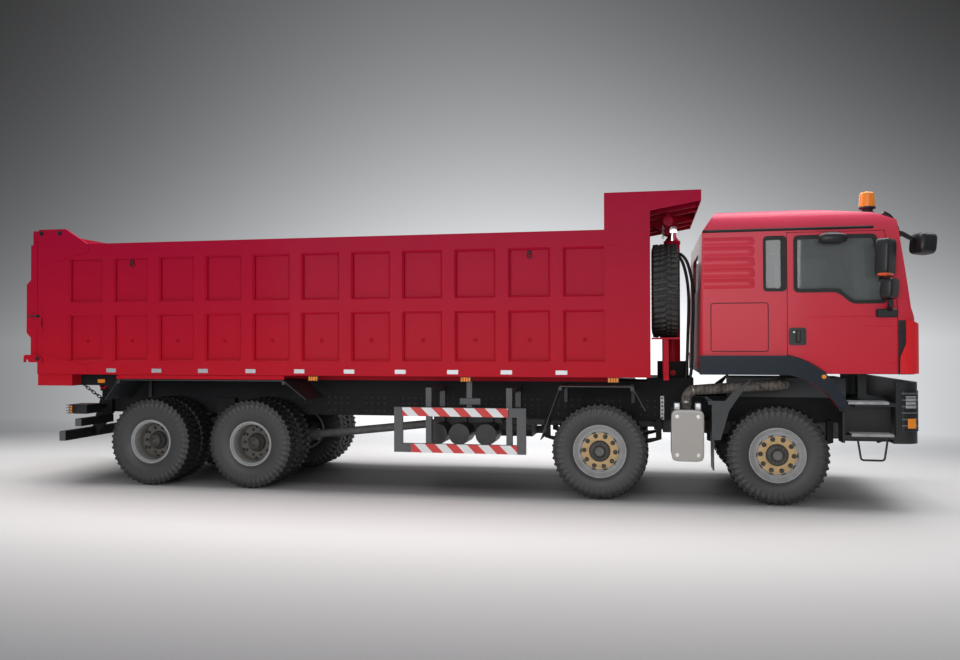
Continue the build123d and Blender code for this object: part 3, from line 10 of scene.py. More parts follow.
import bmesh
import bpy
import numpy as np
from mathutils import Matrix, Vector


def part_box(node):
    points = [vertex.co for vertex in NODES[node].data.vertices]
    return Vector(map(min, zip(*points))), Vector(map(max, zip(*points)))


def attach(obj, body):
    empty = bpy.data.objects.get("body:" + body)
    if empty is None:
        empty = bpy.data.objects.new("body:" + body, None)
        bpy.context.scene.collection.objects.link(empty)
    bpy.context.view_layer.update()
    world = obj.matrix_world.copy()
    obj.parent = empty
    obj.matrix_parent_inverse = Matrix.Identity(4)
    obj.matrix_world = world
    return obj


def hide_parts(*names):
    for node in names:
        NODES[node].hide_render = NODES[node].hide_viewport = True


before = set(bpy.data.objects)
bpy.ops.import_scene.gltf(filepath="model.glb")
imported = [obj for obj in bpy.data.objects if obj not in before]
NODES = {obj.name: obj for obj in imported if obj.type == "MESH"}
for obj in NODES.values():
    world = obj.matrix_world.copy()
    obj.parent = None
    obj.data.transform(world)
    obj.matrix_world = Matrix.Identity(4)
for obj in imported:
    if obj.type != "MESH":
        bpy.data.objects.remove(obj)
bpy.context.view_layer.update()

# %% [markdown]
# ## Where the parts are
# Every X below is counted from the first axle, as on a workshop drawing. One shift takes a finished piece to
# the truck's own origin, which lies on the ground under the middle of the whole truck.

# %% Stations of the wheels
SHIFT = 3.981
STEERED = {"1": 0.0, "2": -1.980}
DRIVEN = {"3": -6.350, "4": -7.740}
SIDES = {"r": -1, "l": 1}
TYRE_R, TYRE_W = 0.5625, 0.315
TRACK_FRONT, TRACK_REAR, TWIN = 2.04, 1.77, 0.35

# %% [markdown]
# ## The camera
# A pinhole camera was fitted to the wheels and the bed's corners in the photograph. It stands low, a little
# above a person's eyes, and turns slightly towards the rear, so the bed seems to taper away.

# %% Camera
SENSOR, FOCAL_PIXELS, PHOTO_WIDTH = 36.0, 843.2, 960
EYE, YAW, PITCH, ROLL = (2.546, -11.088, 1.854), 11.177, 90.750, -0.132
lens = bpy.data.cameras.new("camera")
lens.sensor_width = SENSOR
lens.lens = FOCAL_PIXELS / PHOTO_WIDTH * SENSOR
camera = bpy.data.objects.new("camera", lens)
bpy.context.scene.collection.objects.link(camera)
camera.matrix_world = Matrix.Translation(EYE)
for degrees, axis in ((YAW, "Z"), (PITCH, "X"), (ROLL, "Z")):
    camera.matrix_world = camera.matrix_world @ Matrix.Rotation(math.radians(degrees), 4, axis)
bpy.context.scene.camera = camera
bpy.context.scene.view_settings.view_transform = "Standard"

# %% [markdown]
# ## Writing a shader as a sum
# A material is a small calculation on each point of the surface. Placing its nodes by hand hides the sums, so
# one class wraps a socket and lets plain Python operators add the Math nodes.


# %% Sockets that add up
def put(tree, socket, value):
    """Links a wire to a socket, or sets the socket's own value."""
    if isinstance(value, Wire):
        tree.links.new(value.socket, socket)
    elif isinstance(value, (tuple, list)) and len(value) == 3 and socket.type == "RGBA":
        socket.default_value = (*value, 1.0)
    else:
        socket.default_value = value


class Wire:
    """A node's output. The operators add Math nodes, so that 1 - mask works as it reads."""

    def __init__(self, tree, socket):
        self.tree, self.socket = tree, socket

    def sum(self, operation, *values):
        node = self.tree.nodes.new("ShaderNodeMath")
        node.operation = operation
        for socket, value in zip(node.inputs, values):
            put(self.tree, socket, value)
        return Wire(self.tree, node.outputs[0])

    def __add__(self, other):
        return self.sum("ADD", self, other)

    def __sub__(self, other):
        return self.sum("SUBTRACT", self, other)

    def __rsub__(self, other):
        return self.sum("SUBTRACT", other, self)

    def __mul__(self, other):
        return self.sum("MULTIPLY", self, other)

    def __gt__(self, other):
        return self.sum("GREATER_THAN", self, other)

    def __lt__(self, other):
        return self.sum("LESS_THAN", self, other)

    __radd__, __rmul__ = __add__, __mul__

    def absolute(self):
        return self.sum("ABSOLUTE", self)

    def wave(self):
        return self.sum("SINE", self)

    def exp(self):
        return self.sum("EXPONENT", self)

    def ramp(self, low, high):
        """0 below low, 1 above high, straight between."""
        node = self.tree.nodes.new("ShaderNodeMapRange")
        for socket, value in zip(node.inputs, (self, low, high, 0.0, 1.0)):
            put(self.tree, socket, value)
        return Wire(self.tree, node.outputs[0])

    def part(self, name):
        """Another output of the same node."""
        return Wire(self.tree, self.socket.node.outputs[name])


# every finish by name; the CAD solids bring plain materials of their own, some under the same names
FINISHES = {}


class Finish:
    """One material: its principled shader, and a few nodes by name."""

    def __init__(self, name, **values):
        self.material = FINISHES[name] = bpy.data.materials.new(name)
        self.material.use_nodes = True
        self.tree = self.material.node_tree
        self.shader = self.tree.nodes["Principled BSDF"]
        self.set(**values)

    def node(self, kind, settings=(), out=0, **values):
        """Any node: its settings first, then its sockets' values or links."""
        node = self.tree.nodes.new(kind)
        for key, value in dict(settings).items():
            setattr(node, key, value)
        for key, value in values.items():
            put(self.tree, node.inputs[key.replace("_", " ")], value)
        return Wire(self.tree, node.outputs[out])

    def set(self, **values):
        for key, value in values.items():
            put(self.tree, self.shader.inputs[key.replace("_", " ")], value)
        return self

    def place(self):
        return self.node("ShaderNodeTexCoord", out=3)

    def axis(self, letter):
        return self.node("ShaderNodeSeparateXYZ", Vector=self.place()).part(letter)

    def noise(self, scale, detail=3.0, rough=0.5):
        return self.node("ShaderNodeTexNoise", Vector=self.place(), Scale=scale, Detail=detail,
                         Roughness=rough)

    def mix(self, factor, first, second):
        """first where factor is 0, second where it is 1, as colours."""
        node = self.tree.nodes.new("ShaderNodeMix")
        node.data_type = "RGBA"
        for place, value in ((0, factor), (6, first), (7, second)):
            put(self.tree, node.inputs[place], value)
        return Wire(self.tree, node.outputs[2])

    def blend(self, factor, first, second):
        """The base colour as such a mix."""
        return self.set(Base_Color=self.mix(factor, first, second))

    def rough(self, least, more, scale, low=0.3, high=0.8, detail=3.0):
        """Roughness from noise: least where the noise is low, and as much more where it is high."""
        return self.set(Roughness=self.noise(scale, detail).ramp(low, high) * more + least)

    def bump(self, height, strength=0.3, distance=0.002):
        return self.set(Normal=self.node("ShaderNodeBump", Height=height, Strength=strength,
                                         Distance=distance))


# %% [markdown]
# ## Light and floor
# The truck stands under one long softbox, and a low one beside the camera fills its side. The wall behind is
# a glow that fades upwards and sideways: a colour on the direction of sight, seen by the camera alone. The
# floor thins out in the distance, so that no line shows where it meets the wall. Its colour carries a painted
# pool of light, pale near the truck and greyer further off, and a painted shadow where the truck covers it.

# %% Wall and room light
world = bpy.data.worlds.new("studio")
world.use_nodes = True
bpy.context.scene.world = world
sky = world.node_tree
for old in list(sky.nodes):
    sky.nodes.remove(old)


def sky_node(kind, values, out=0):
    """A node of the world; values go by a socket's name or its number."""
    node = sky.nodes.new(kind)
    for key, value in values.items():
        put(sky, node.inputs[key], value)
    return Wire(sky, node.outputs[out] if node.outputs else None)


sight = sky_node("ShaderNodeSeparateXYZ", {"Vector": sky_node("ShaderNodeTexCoord", {})})
across = sight * 0.981 + sight.part("Y") * 0.194
up = sight.part("Z").sum("MAXIMUM", sight.part("Z"), 0.0)
off = across - 0.08 + up * 0.24
glow = (off * off * (up * 8.4 + 4.8) * -1.0).exp() * (up * -5.2).exp() * 1.307
grey = sky_node("ShaderNodeCombineColor", {0: glow * 0.985, 1: glow * 1.0, 2: glow * 1.03})
wall_light = sky_node("ShaderNodeBackground", {"Color": grey, "Strength": 1.0})
room_light = sky_node("ShaderNodeBackground", {"Color": (0.95, 0.97, 1.0), "Strength": 0.30})
seen = sky_node("ShaderNodeLightPath", {}).part("Is Camera Ray")
sky_node("ShaderNodeOutputWorld", {0: sky_node("ShaderNodeMixShader", {0: seen, 1: room_light,
                                                                       2: wall_light})})


# %% Softboxes and floor
def softbox(name, place, aim, size, power):
    """A large area lamp at place, turned towards aim."""
    lamp = bpy.data.lights.new(name, "AREA")
    lamp.shape, lamp.size, lamp.size_y, lamp.energy = "RECTANGLE", *size, power
    holder = bpy.data.objects.new(name, lamp)
    direction = Vector(aim) - Vector(place)
    holder.matrix_world = Matrix.Translation(place) @ direction.to_track_quat("-Z", "Y").to_matrix().to_4x4()
    bpy.context.scene.collection.objects.link(holder)


softbox("overhead", (0, 0.6, 8.5), (0, 0.2, 0), (20, 4.5), 1350)
softbox("beside_camera", (-1.0, -17.0, 3.6), (0, 0, 1.7), (16, 5), 1050)
softbox("far_side", (2.0, 14.0, 7.0), (0, 0, 1.5), (12, 6), 260)

floor_mesh = bpy.data.meshes.new("floor")
floor_mesh.from_pydata([(-80, -60, 0), (80, -60, 0), (80, 60, 0), (-80, 60, 0)], [], [(0, 1, 2, 3)])
floor = bpy.data.objects.new("floor", floor_mesh)
bpy.context.scene.collection.objects.link(floor)
floor_paint = Finish("floor_paint", Roughness=0.6, Specular_IOR_Level=0.2)
centred = floor_paint.node("ShaderNodeMapping", {"vector_type": "POINT"}, Vector=floor_paint.place(),
                           Location=(0.035, 0.10, 0.0), Scale=(0.070, 0.165, 1.0))
away = floor_paint.node("ShaderNodeVectorMath", {"operation": "LENGTH"}, out=1, Vector=centred)
# painted pool of light: the floor's colour falls from pale near the truck to dark grey further off
pale = floor_paint.mix(away.ramp(0.45, 1.05), (0.84, 0.83, 0.82), (0.25, 0.25, 0.26))
beside, ahead = (floor_paint.axis(letter).absolute() for letter in "YX")
# painted shadow: the floor's colour is darkened under the truck
painted_shadow = (1 - beside.ramp(0.55, 1.55)) * (1 - ahead.ramp(4.5, 5.9))
floor_paint.blend(painted_shadow * 0.85, pale, (0.02, 0.02, 0.02))
floor_paint.set(Alpha=1 - floor_paint.axis("Y").ramp(1.0, 7.0))
floor_mesh.materials.append(floor_paint.material)

# %% [markdown]
# ## Surfaces from numbers
# Most pieces are either a profile turned about an axis, or a section carried along a path. Both are grids:
# one parameter runs along the profile and the other round or along. Numpy works out every point at once.


# %% Grids, turned pieces and carried profiles
def piece(name, points, faces, finish, body, smooth=True, stands_for=None, slot=None, sheet=False):
    """A mesh in its place: painted, riding on its body and, if so told, standing for a CAD node.

    A closed shell has its faces turned outwards. An open sheet keeps the order in which they were given.
    """
    mesh = bpy.data.meshes.new(name)
    points = np.asarray(points, float).reshape(-1, 3) + [SHIFT, 0, 0]
    mesh.from_pydata(points.tolist(), [], faces if isinstance(faces, list) else faces.tolist())
    if not sheet:
        shell = bmesh.new()
        shell.from_mesh(mesh)
        bmesh.ops.recalc_face_normals(shell, faces=shell.faces)
        shell.to_mesh(mesh)
        shell.free()
    mesh.polygons.foreach_set("use_smooth", [smooth] * len(mesh.polygons))
    mesh.materials.append(FINISHES[finish])
    mesh.update()
    thing = bpy.data.objects.new(name, mesh)
    bpy.context.scene.collection.objects.link(thing)
    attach(thing, body)
    if stands_for:
        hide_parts(stands_for)
    return thing


def grid_faces(rows, columns, close_rows=False, close_columns=False):
    """Quads of a grid whose points are numbered row by row."""
    r = np.arange(rows if close_rows else rows - 1)[:, None]
    c = np.arange(columns if close_columns else columns - 1)[None, :]
    r2, c2 = (r + 1) % rows, (c + 1) % columns
    quads = np.stack([r * columns + c, r * columns + c2, r2 * columns + c2, r2 * columns + c], -1)
    return quads.reshape(-1, 4)


def smooth_line(points, steps):
    """A curve through the points: on each span, a cubic that leaves along the line between its neighbours.

    For 0 <= t < 1 it is (2t^3 - 3t^2 + 1) a + (t^3 - 2t^2 + t) ma + (3t^2 - 2t^3) b + (t^3 - t^2) mb.
    """
    p = np.asarray(points, float)
    before = np.vstack([2 * p[0] - p[1], p[:-1]])
    after = np.vstack([p[1:], 2 * p[-1] - p[-2]])
    slope = (after - before) / 2
    t = np.linspace(0, 1, steps, endpoint=False)[None, :, None]
    curve = (2 * t**3 - 3 * t**2 + 1) * p[:-1, None] + (t**3 - 2 * t**2 + t) * slope[:-1, None]
    curve = curve + (3 * t**2 - 2 * t**3) * p[1:, None] + (t**3 - t**2) * slope[1:, None]
    return np.vstack([curve.reshape(-1, p.shape[1]), p[-1:]])


def circle(around):
    """The cosines and sines of angles evenly spaced round a circle."""
    a = np.linspace(0, 2 * np.pi, around, endpoint=False)
    return np.cos(a), np.sin(a)


def turned(profile, around=64):
    """Points (radius, outwards) turned about Y. A point at angle a is (r cos a, out, r sin a)."""
    r, out = np.asarray(profile, float).T[..., None]
    c, s = circle(around)
    return np.stack([r * c, out + 0 * c, r * s], -1)


class Batch:
    """Grids and solids gathered into one mesh. What stands on both sides is drawn once, on the left."""

    def __init__(self):
        self.points, self.faces, self.count = [], [], 0

    def add(self, points, faces):
        points = np.asarray(points, float).reshape(-1, 3)
        self.points.append(points)
        self.faces += [[i + self.count for i in f] for f in np.asarray(faces).tolist()]
        self.count += len(points)
        return self

    def grid(self, points, close_rows=False, close_columns=False):
        return self.add(points, grid_faces(*points.shape[:2], close_rows, close_columns))

    def tube(self, rings):
        """Closed rings one after another, with a cap on the first and on the last."""
        rows, n = rings.shape[:2]
        self.grid(rings, close_columns=True)
        first, last = self.count - rows * n, self.count - n
        self.faces += [list(range(last, last + n)), list(range(first, first + n))[::-1]]
        return self

    def box(self, low, high, bevel=0.0):
        """A block between two corners, its edges cut by bevel."""
        (x0, y0, z0), (x1, y1, z1) = np.minimum(low, high), np.maximum(low, high)
        b = min(bevel, 0.45 * min(x1 - x0, y1 - y0, z1 - z0))
        if b <= 0:
            return self.tube(np.array([[(x0, y0, z), (x1, y0, z), (x1, y1, z), (x0, y1, z)] for z in (z0,
                                                                                                      z1)]))
        plan = np.array([(x0 + b, y0), (x1 - b, y0), (x1, y0 + b), (x1, y1 - b), (x1 - b, y1), (x0 + b, y1),
                         (x0, y1 - b), (x0, y0 + b)])
        small = np.clip(plan, [x0 + b, y0 + b], [x1 - b, y1 - b])
        rings = [np.column_stack([flat, np.full(8, z)])
                 for flat, z in ((small, z0), (plan, z0 + b), (plan, z1 - b), (small, z1))]
        return self.tube(np.stack(rings))

    def carried(self, path, radius, around=12, closed=False):
        """A round section carried along a path: each ring stands across the path there."""
        path = np.asarray(path, float)
        tangent = np.roll(path, -1, 0) - np.roll(path, 1, 0) if closed else np.gradient(path, axis=0)
        tangent /= np.linalg.norm(tangent, axis=1)[:, None]
        guide = np.array([0, 0, 1.0]) if abs(tangent[:, 2]).max() < 0.95 else np.array([0, 1.0, 0])
        if abs(tangent @ guide).max() > 0.95:
            guide = np.array([0.577, 0.577, 0.577])
        side = np.cross(tangent, guide)
        side /= np.linalg.norm(side, axis=1)[:, None]
        r = np.broadcast_to(radius, (len(path),))[:, None, None]
        c, s = (wave[None, :, None] for wave in circle(around))
        rings = path[:, None] + r * (c * side[:, None] + s * np.cross(tangent, side)[:, None])
        return self.grid(rings, close_rows=True, close_columns=True) if closed else self.tube(rings)

    def rod(self, start, end, radius, around=16, end_radius=None):
        """A round bar between two points."""
        return self.carried([start, end], [radius, radius if end_radius is None else end_radius], around)

    def plate(self, outline, y0, y1):
        """An outline of (x, z) corners as thick as y0 to y1."""
        o = np.asarray(outline, float)
        return self.tube(np.stack([np.column_stack([o[:, 0], np.full(len(o), y), o[:, 1]]) for y in (y0,
                                                                                                     y1)]))

    def both(self):
        """Adds the mirror image of everything so far, on the truck's right."""
        points = np.vstack(self.points)
        self.faces += [[i + self.count for i in reversed(f)] for f in self.faces]
        self.points, self.count = [points, points * [1, -1, 1]], 2 * self.count
        return self

    def make(self, name, finish, body, smooth=False, bevel=0.0, **more):
        """Ends the batch: one object, with its edges rounded if asked."""
        thing = piece(name, np.vstack(self.points), self.faces, finish, body, smooth, **more)
        if bevel:
            cut = thing.modifiers.new("edges", "BEVEL")
            cut.width, cut.segments, cut.limit_method, cut.angle_limit = bevel, 2, "ANGLE", 0.6
            cut.harden_normals = False
        return thing

    def pair(self, name, finish, body, stands_for="", **more):
        """Ends the batch twice: its mirror image for the right side and itself for the left."""
        points, faces = self.points, self.faces
        for tag, side in (("right", -1), ("left", 1)):
            self.points = [p * [1, side, 1] for p in points]
            self.faces = [f[::side] for f in faces]
            self.make(f"{name}_{tag}", finish, body.format(tag), stands_for=stands_for.format(tag), **more)


# %% [markdown]
# ## Paint, steel and rubber
# Every finish starts from the real one: sprayed red enamel with a little dust low down, satin black chassis
# paint, dusty rubber, cast wheels and clear glass. Noise at two scales keeps large panels from looking
# printed. The reds of bed and cab also change with height, and the cab's roof edge turns pinker: painted light
# and shade.


# %% Enamels
def paint(name, colour, low=None, dust=(0.42, 0.36, 0.30), dust_top=1.0, dust_amount=0.25, gloss=0.32,
          coat=0.5,
          heights=(1.4, 3.3), shine=0.4, painted_roof_reflection=None):
    """Enamel: near colours by height, which are painted light and shade, and by noise; dust that thins out
    upwards, and an orange-peel bump.
    """
    f = Finish(name, Coat_Roughness=0.12, Specular_IOR_Level=shine)
    cloud = f.noise(1.3, 4.0, 0.6)
    z = f.axis("Z")
    # the change of colour with height is painted light and shade
    body = f.mix(z.ramp(*heights), low or colour, colour)
    # an optional pinker colour at the roof edge: a painted reflection of the studio
    if painted_roof_reflection:
        body = f.mix(z.ramp(3.06, 3.36), body, painted_roof_reflection)
    body = f.mix(cloud.ramp(0.35, 0.75) * 0.16, body, tuple(c * 0.72 for c in colour))
    speck = f.noise(9.0, 6.0, 0.7)
    film = (1 - z.ramp(0.3, dust_top)) * dust_amount * speck.ramp(0.30, 0.62)
    cover = film + speck.ramp(0.60, 0.85) * dust_amount * 0.15
    f.blend(cover, body, dust).set(Coat_Weight=(1 - cover) * coat, Roughness=cover * 0.5 + gloss)
    f.bump(f.noise(420.0, 2.0), 0.05, 0.0004)


# the cab's red gets lighter and pinker higher up: a painted highlight
CAB_LOW, CAB_HIGH, CAB_HEIGHTS = (0.63, 0.022, 0.042), (0.70, 0.050, 0.085), (1.5, 3.1)
MUD, MUD_DARK = (0.20, 0.17, 0.13), (0.08, 0.068, 0.055)
# the bed's red is darker and bluer high up and brighter low down: painted light and shade
paint("bed_red", (0.41, 0.003, 0.036), (0.52, 0.009, 0.022), dust_top=1.7, dust_amount=0.04, gloss=0.46,
      coat=0.03,
      shine=0.07)
# cab_red's colour at the roof edge is a painted reflection
paint("cab_red", CAB_HIGH, CAB_LOW, dust_top=1.8, dust_amount=0.03, gloss=0.34, coat=0.12, shine=0.16,
      heights=CAB_HEIGHTS, painted_roof_reflection=(0.72, 0.080, 0.165))
paint("flare_red", (0.78, 0.022, 0.030), dust_top=1.8, dust_amount=0.03, gloss=0.34, coat=0.12, shine=0.16)
paint("frame_black", (0.010, 0.011, 0.013), dust_top=1.3, dust_amount=0.05, gloss=0.55, coat=0.0, shine=0.12)
paint("axle_black", (0.011, 0.012, 0.013), dust_top=1.1, dust_amount=0.12, gloss=0.58, coat=0.0, shine=0.15)
paint("trim_black", (0.012, 0.013, 0.015), dust_amount=0.05, gloss=0.42, coat=0.1)
paint("sill_grey", (0.030, 0.036, 0.044), dust_top=1.3, dust_amount=0.05, gloss=0.40, coat=0.25)
paint("guard_grey", (0.085, 0.090, 0.095), dust_amount=0.10, gloss=0.48, coat=0.1)
paint("fender_grey", (0.036, 0.040, 0.044), dust_amount=0.08, gloss=0.46, coat=0.1)
paint("tank_grey", (0.020, 0.022, 0.024), dust_amount=0.18, gloss=0.45, coat=0.2)
paint("machine_grey", (0.10, 0.105, 0.11), dust_top=1.3, dust_amount=0.3, gloss=0.6, coat=0.0)
paint("shield_paint", (0.42, 0.40, 0.375), dust_top=0.9, dust_amount=0.12, gloss=0.35, coat=0.3)
paint("rim_silver", (0.34, 0.35, 0.365), dust=MUD, dust_top=1.3, dust_amount=0.5, gloss=0.42, coat=0.2)
paint("rim_gold", (0.62, 0.42, 0.19), dust=(0.26, 0.19, 0.12), dust_top=1.3, dust_amount=0.4, gloss=0.5,
      coat=0.1)
paint("dish_grey", (0.12, 0.113, 0.104), dust=MUD_DARK, dust_top=1.3, dust_amount=0.7, gloss=0.55, coat=0.0)
paint("hub_black", (0.030, 0.032, 0.034), dust=(0.20, 0.17, 0.14), dust_top=1.2, dust_amount=0.3, gloss=0.5,
      coat=0.1)
paint("dash_plastic", (0.035, 0.037, 0.040), dust_top=0.9, dust_amount=0.0, gloss=0.6, coat=0.0)

# %% Metals, glass and plastics
Finish("bright_steel", Metallic=1.0, Base_Color=(0.60, 0.60, 0.61)).rough(0.2, 0.25, 30.0, 0.2, 0.9, 4.0)
Finish("chrome", Metallic=1.0, Base_Color=(0.75, 0.75, 0.77)).rough(0.06, 0.06, 6.0)
zinc = Finish("zinc_steel", Metallic=0.8, Roughness=0.42)
zinc.blend(zinc.noise(14.0, 5.0, 0.7).ramp(0.35, 0.65), (0.42, 0.43, 0.44), (0.28, 0.28, 0.28))
glass = Finish("cab_glass", Base_Color=(0.150, 0.170, 0.170), Coat_Weight=0.4, IOR=1.5).rough(0.02, 0.03, 2.0)
glass.set(Alpha=glass.noise(0.8, 2.0) * 0.06 + 0.60)
mirror = Finish("lamp_reflector", Metallic=0.7, Coat_Weight=0.8).rough(0.0, 0.2, 20.0)
mirror.blend((mirror.axis("Z") * 160.0).wave().ramp(-0.4, 0.8), (0.85, 0.87, 0.90), (0.30, 0.32, 0.34))
cluster = Finish("lamp_black", Coat_Weight=0.8).rough(0.1, 0.1, 9.0)
cluster.blend((cluster.axis("Z") * 90.0).wave().ramp(0.6, 0.9), (0.010, 0.011, 0.012), (0.10, 0.11, 0.12))
smoke = Finish("visor_smoke", Coat_Weight=0.9).rough(0.12, 0.1, 5.0)
# the visor gets lighter towards its top: a painted highlight
smoke.blend(smoke.axis("Z").ramp(3.0, 3.3), (0.014, 0.016, 0.018), (0.06, 0.065, 0.07))
white = Finish("plate_white", Roughness=0.4)
white.blend(white.noise(5.0).ramp(0.4, 0.7), (0.72, 0.72, 0.70), (0.62, 0.62, 0.60))
repeater = Finish("repeater_orange", Coat_Weight=0.5, Roughness=0.2)
repeater.blend(repeater.noise(30.0).ramp(0.3, 0.7), (0.80, 0.10, 0.01), (0.68, 0.07, 0.01))
Finish("hose_rubber", Base_Color=(0.010, 0.011, 0.012)).rough(0.4, 0.2, 24.0, 0.3, 0.7)
# this dark rubber also paints the discs and bars that stand for holes and slots: painted shade
Finish("seal_rubber_and_hole_shade", Base_Color=(0.010, 0.010, 0.011)).rough(0.52, 0.15, 30.0, 0.3, 0.7)
for name, colour, gloss in (("amber_lens", (0.90, 0.27, 0.012), 0.14),
                            ("red_lens", (0.55, 0.012, 0.010), 0.15)):
    cast = Finish(name, Base_Color=colour, Roughness=gloss, Coat_Weight=0.6)
    cast.bump((cast.axis("Z") * 900.0).wave(), 0.25, 0.0010)

# %% [markdown]
# Reflective strips are a honeycomb of tiny cells under clear film, so they look silver with a fine grid. The
# bars' stripes are a wave on X + Z, cut off at zero. The exhaust's lagging is wound on, so its bump is a wave
# along it.

# %% Films, cloth and rubber
STRIPES_APART = 0.262
film = Finish("reflective_film", Metallic=0.4, Roughness=0.25, Coat_Weight=0.5)
cells = (film.axis("X") * 500.0).wave() * (film.axis("Z") * 500.0).wave()
film.blend(cells.ramp(-0.2, 0.6), (0.62, 0.63, 0.66), (0.42, 0.43, 0.46))
striped = Finish("striped_bar", Roughness=0.4, Coat_Weight=0.3)
slant = (striped.axis("X") + striped.axis("Z")) * (2 * math.pi / STRIPES_APART)
striped.blend(slant.wave() > 0.0, (0.78, 0.79, 0.80), (0.62, 0.018, 0.016))
cloth = Finish("seat_cloth", Roughness=0.9, Sheen_Weight=0.3)
weave = (cloth.axis("X") * 1400.0).wave() * (cloth.axis("Z") * 1400.0).wave()
weave = weave + (cloth.axis("Y") * 1400.0).wave()
cloth.blend(cloth.noise(6.0, 4.0).ramp(0.3, 0.7), (0.030, 0.032, 0.036), (0.055, 0.056, 0.060))
cloth.bump(weave, 0.12, 0.0008)
lagging = Finish("pipe_lagging", Roughness=0.85)
wrap = (lagging.axis("X") * 130.0 + lagging.noise(20.0, 3.0) * 3.0).wave()
lagging.blend(lagging.noise(16.0, 6.0, 0.75).ramp(0.42, 0.62), (0.20, 0.18, 0.16), (0.06, 0.055, 0.05))
lagging.bump(wrap + lagging.noise(60.0, 5.0) * 2.0, 0.7, 0.006)
for name, dirt, black in (("tread_rubber", 0.36, (0.014, 0.015, 0.016)), ("wall_rubber", 0.14, (0.032, 0.034,
                                                                                                0.036))):
    rubber = Finish(name)
    fine = rubber.noise(70.0, 4.0, 0.7)
    worn = rubber.noise(12.0, 7.0, 0.75).ramp(0.40, 0.70) * dirt + fine.ramp(0.55, 0.75) * (dirt * 0.35)
    rubber.blend(worn, black, (0.070, 0.060, 0.047)).set(Roughness=worn * 0.3 + 0.46)
    rubber.bump(fine, 0.25, 0.0015)

# %% [markdown]
# The cab's skin is one solid with its dark sill and arch, which stand proud of the red side. A mask on the
# distance from the truck's middle line paints them: the skin ends at 1.215 m, the trim reaches 1.25 m.

# %% Cab skin with its dark sill
CAB_Y = 1.215
skin = Finish("cab_skin", Specular_IOR_Level=0.16, Coat_Roughness=0.12)
trim_mask = (skin.axis("Y").absolute() > CAB_Y + 0.0005) * (skin.axis("Z") < 1.70)
# the red side's colour changes with height: the same painted light and shade as cab_red
red_side = skin.mix(skin.axis("Z").ramp(*CAB_HEIGHTS), CAB_LOW, CAB_HIGH)
red_side = skin.mix(skin.noise(1.3, 4.0, 0.6).ramp(0.35, 0.75) * 0.16, red_side, (0.50, 0.030, 0.055))
skin.blend(trim_mask, red_side, (0.018, 0.025, 0.035))
skin.set(Coat_Weight=(1 - trim_mask) * 0.07 + 0.05, Roughness=trim_mask * 0.12 + 0.34)
skin.bump(skin.noise(420.0, 2.0), 0.05, 0.0004)

# %% Paint the CAD nodes
WEARS = {
    "frame_black": "frame tow_lugs underrun",
    "axle_black": "axles springs tie_rod_1 tie_rod_2 knuckle_1r knuckle_1l knuckle_2r knuckle_2l",
    "machine_grey": "engine driveline exhaust",
    "trim_black": "bumper cab_fittings mirrors_right mirrors_left",
    "bed_red": "spare_rack bed_floor bed_side_right bed_side_left headboard tailgate gate_brackets "
               "gate_hinges hoist_barrel",
    "chrome": "hoist_stage_1 hoist_stage_2 hoist_stage_3 hoist_stage_4",
    "cab_red": "cab_roof cab_front door_right door_left",
    "cab_glass": "cab_glass door_glass_right door_glass_left",
    "cab_skin": "cab_walls", "sill_grey": "cab_floor", "seat_cloth": "seats", "dash_plastic": "dash",
    "guard_grey": "side_guards", "fender_grey": "mudguards", "tank_grey": "tanks",
}
finish_of = {node: finish for finish, nodes in WEARS.items() for node in nodes.split()}
for name, node in NODES.items():
    node.data.materials.clear()
    node.data.materials.append(FINISHES[finish_of.get(name, "wall_rubber")])
print("painted", len(NODES), "nodes")

# %% [markdown]
# ## Tyres
# An off-road tyre has a round, smooth wall and thick staggered blocks across its tread. Its section is turned
# about the axle, and the tread's height is a function of two numbers: the angle round and the place across.

# %% Tyre section and tread
PITCHES, TREAD_ROWS, WALL_STEPS = 46, 33, 4
WALL = [(0.0, 0.66), (0.04, 0.80), (0.20, 0.94), (0.45, 1.0), (0.70, 0.985), (0.86, 0.94), (0.95, 0.90)]
GROOVE, SHOULDER = 0.019, 0.004


def step_up(value, edge, soft):
    return np.clip((value - edge) / soft + 0.5, 0, 1)


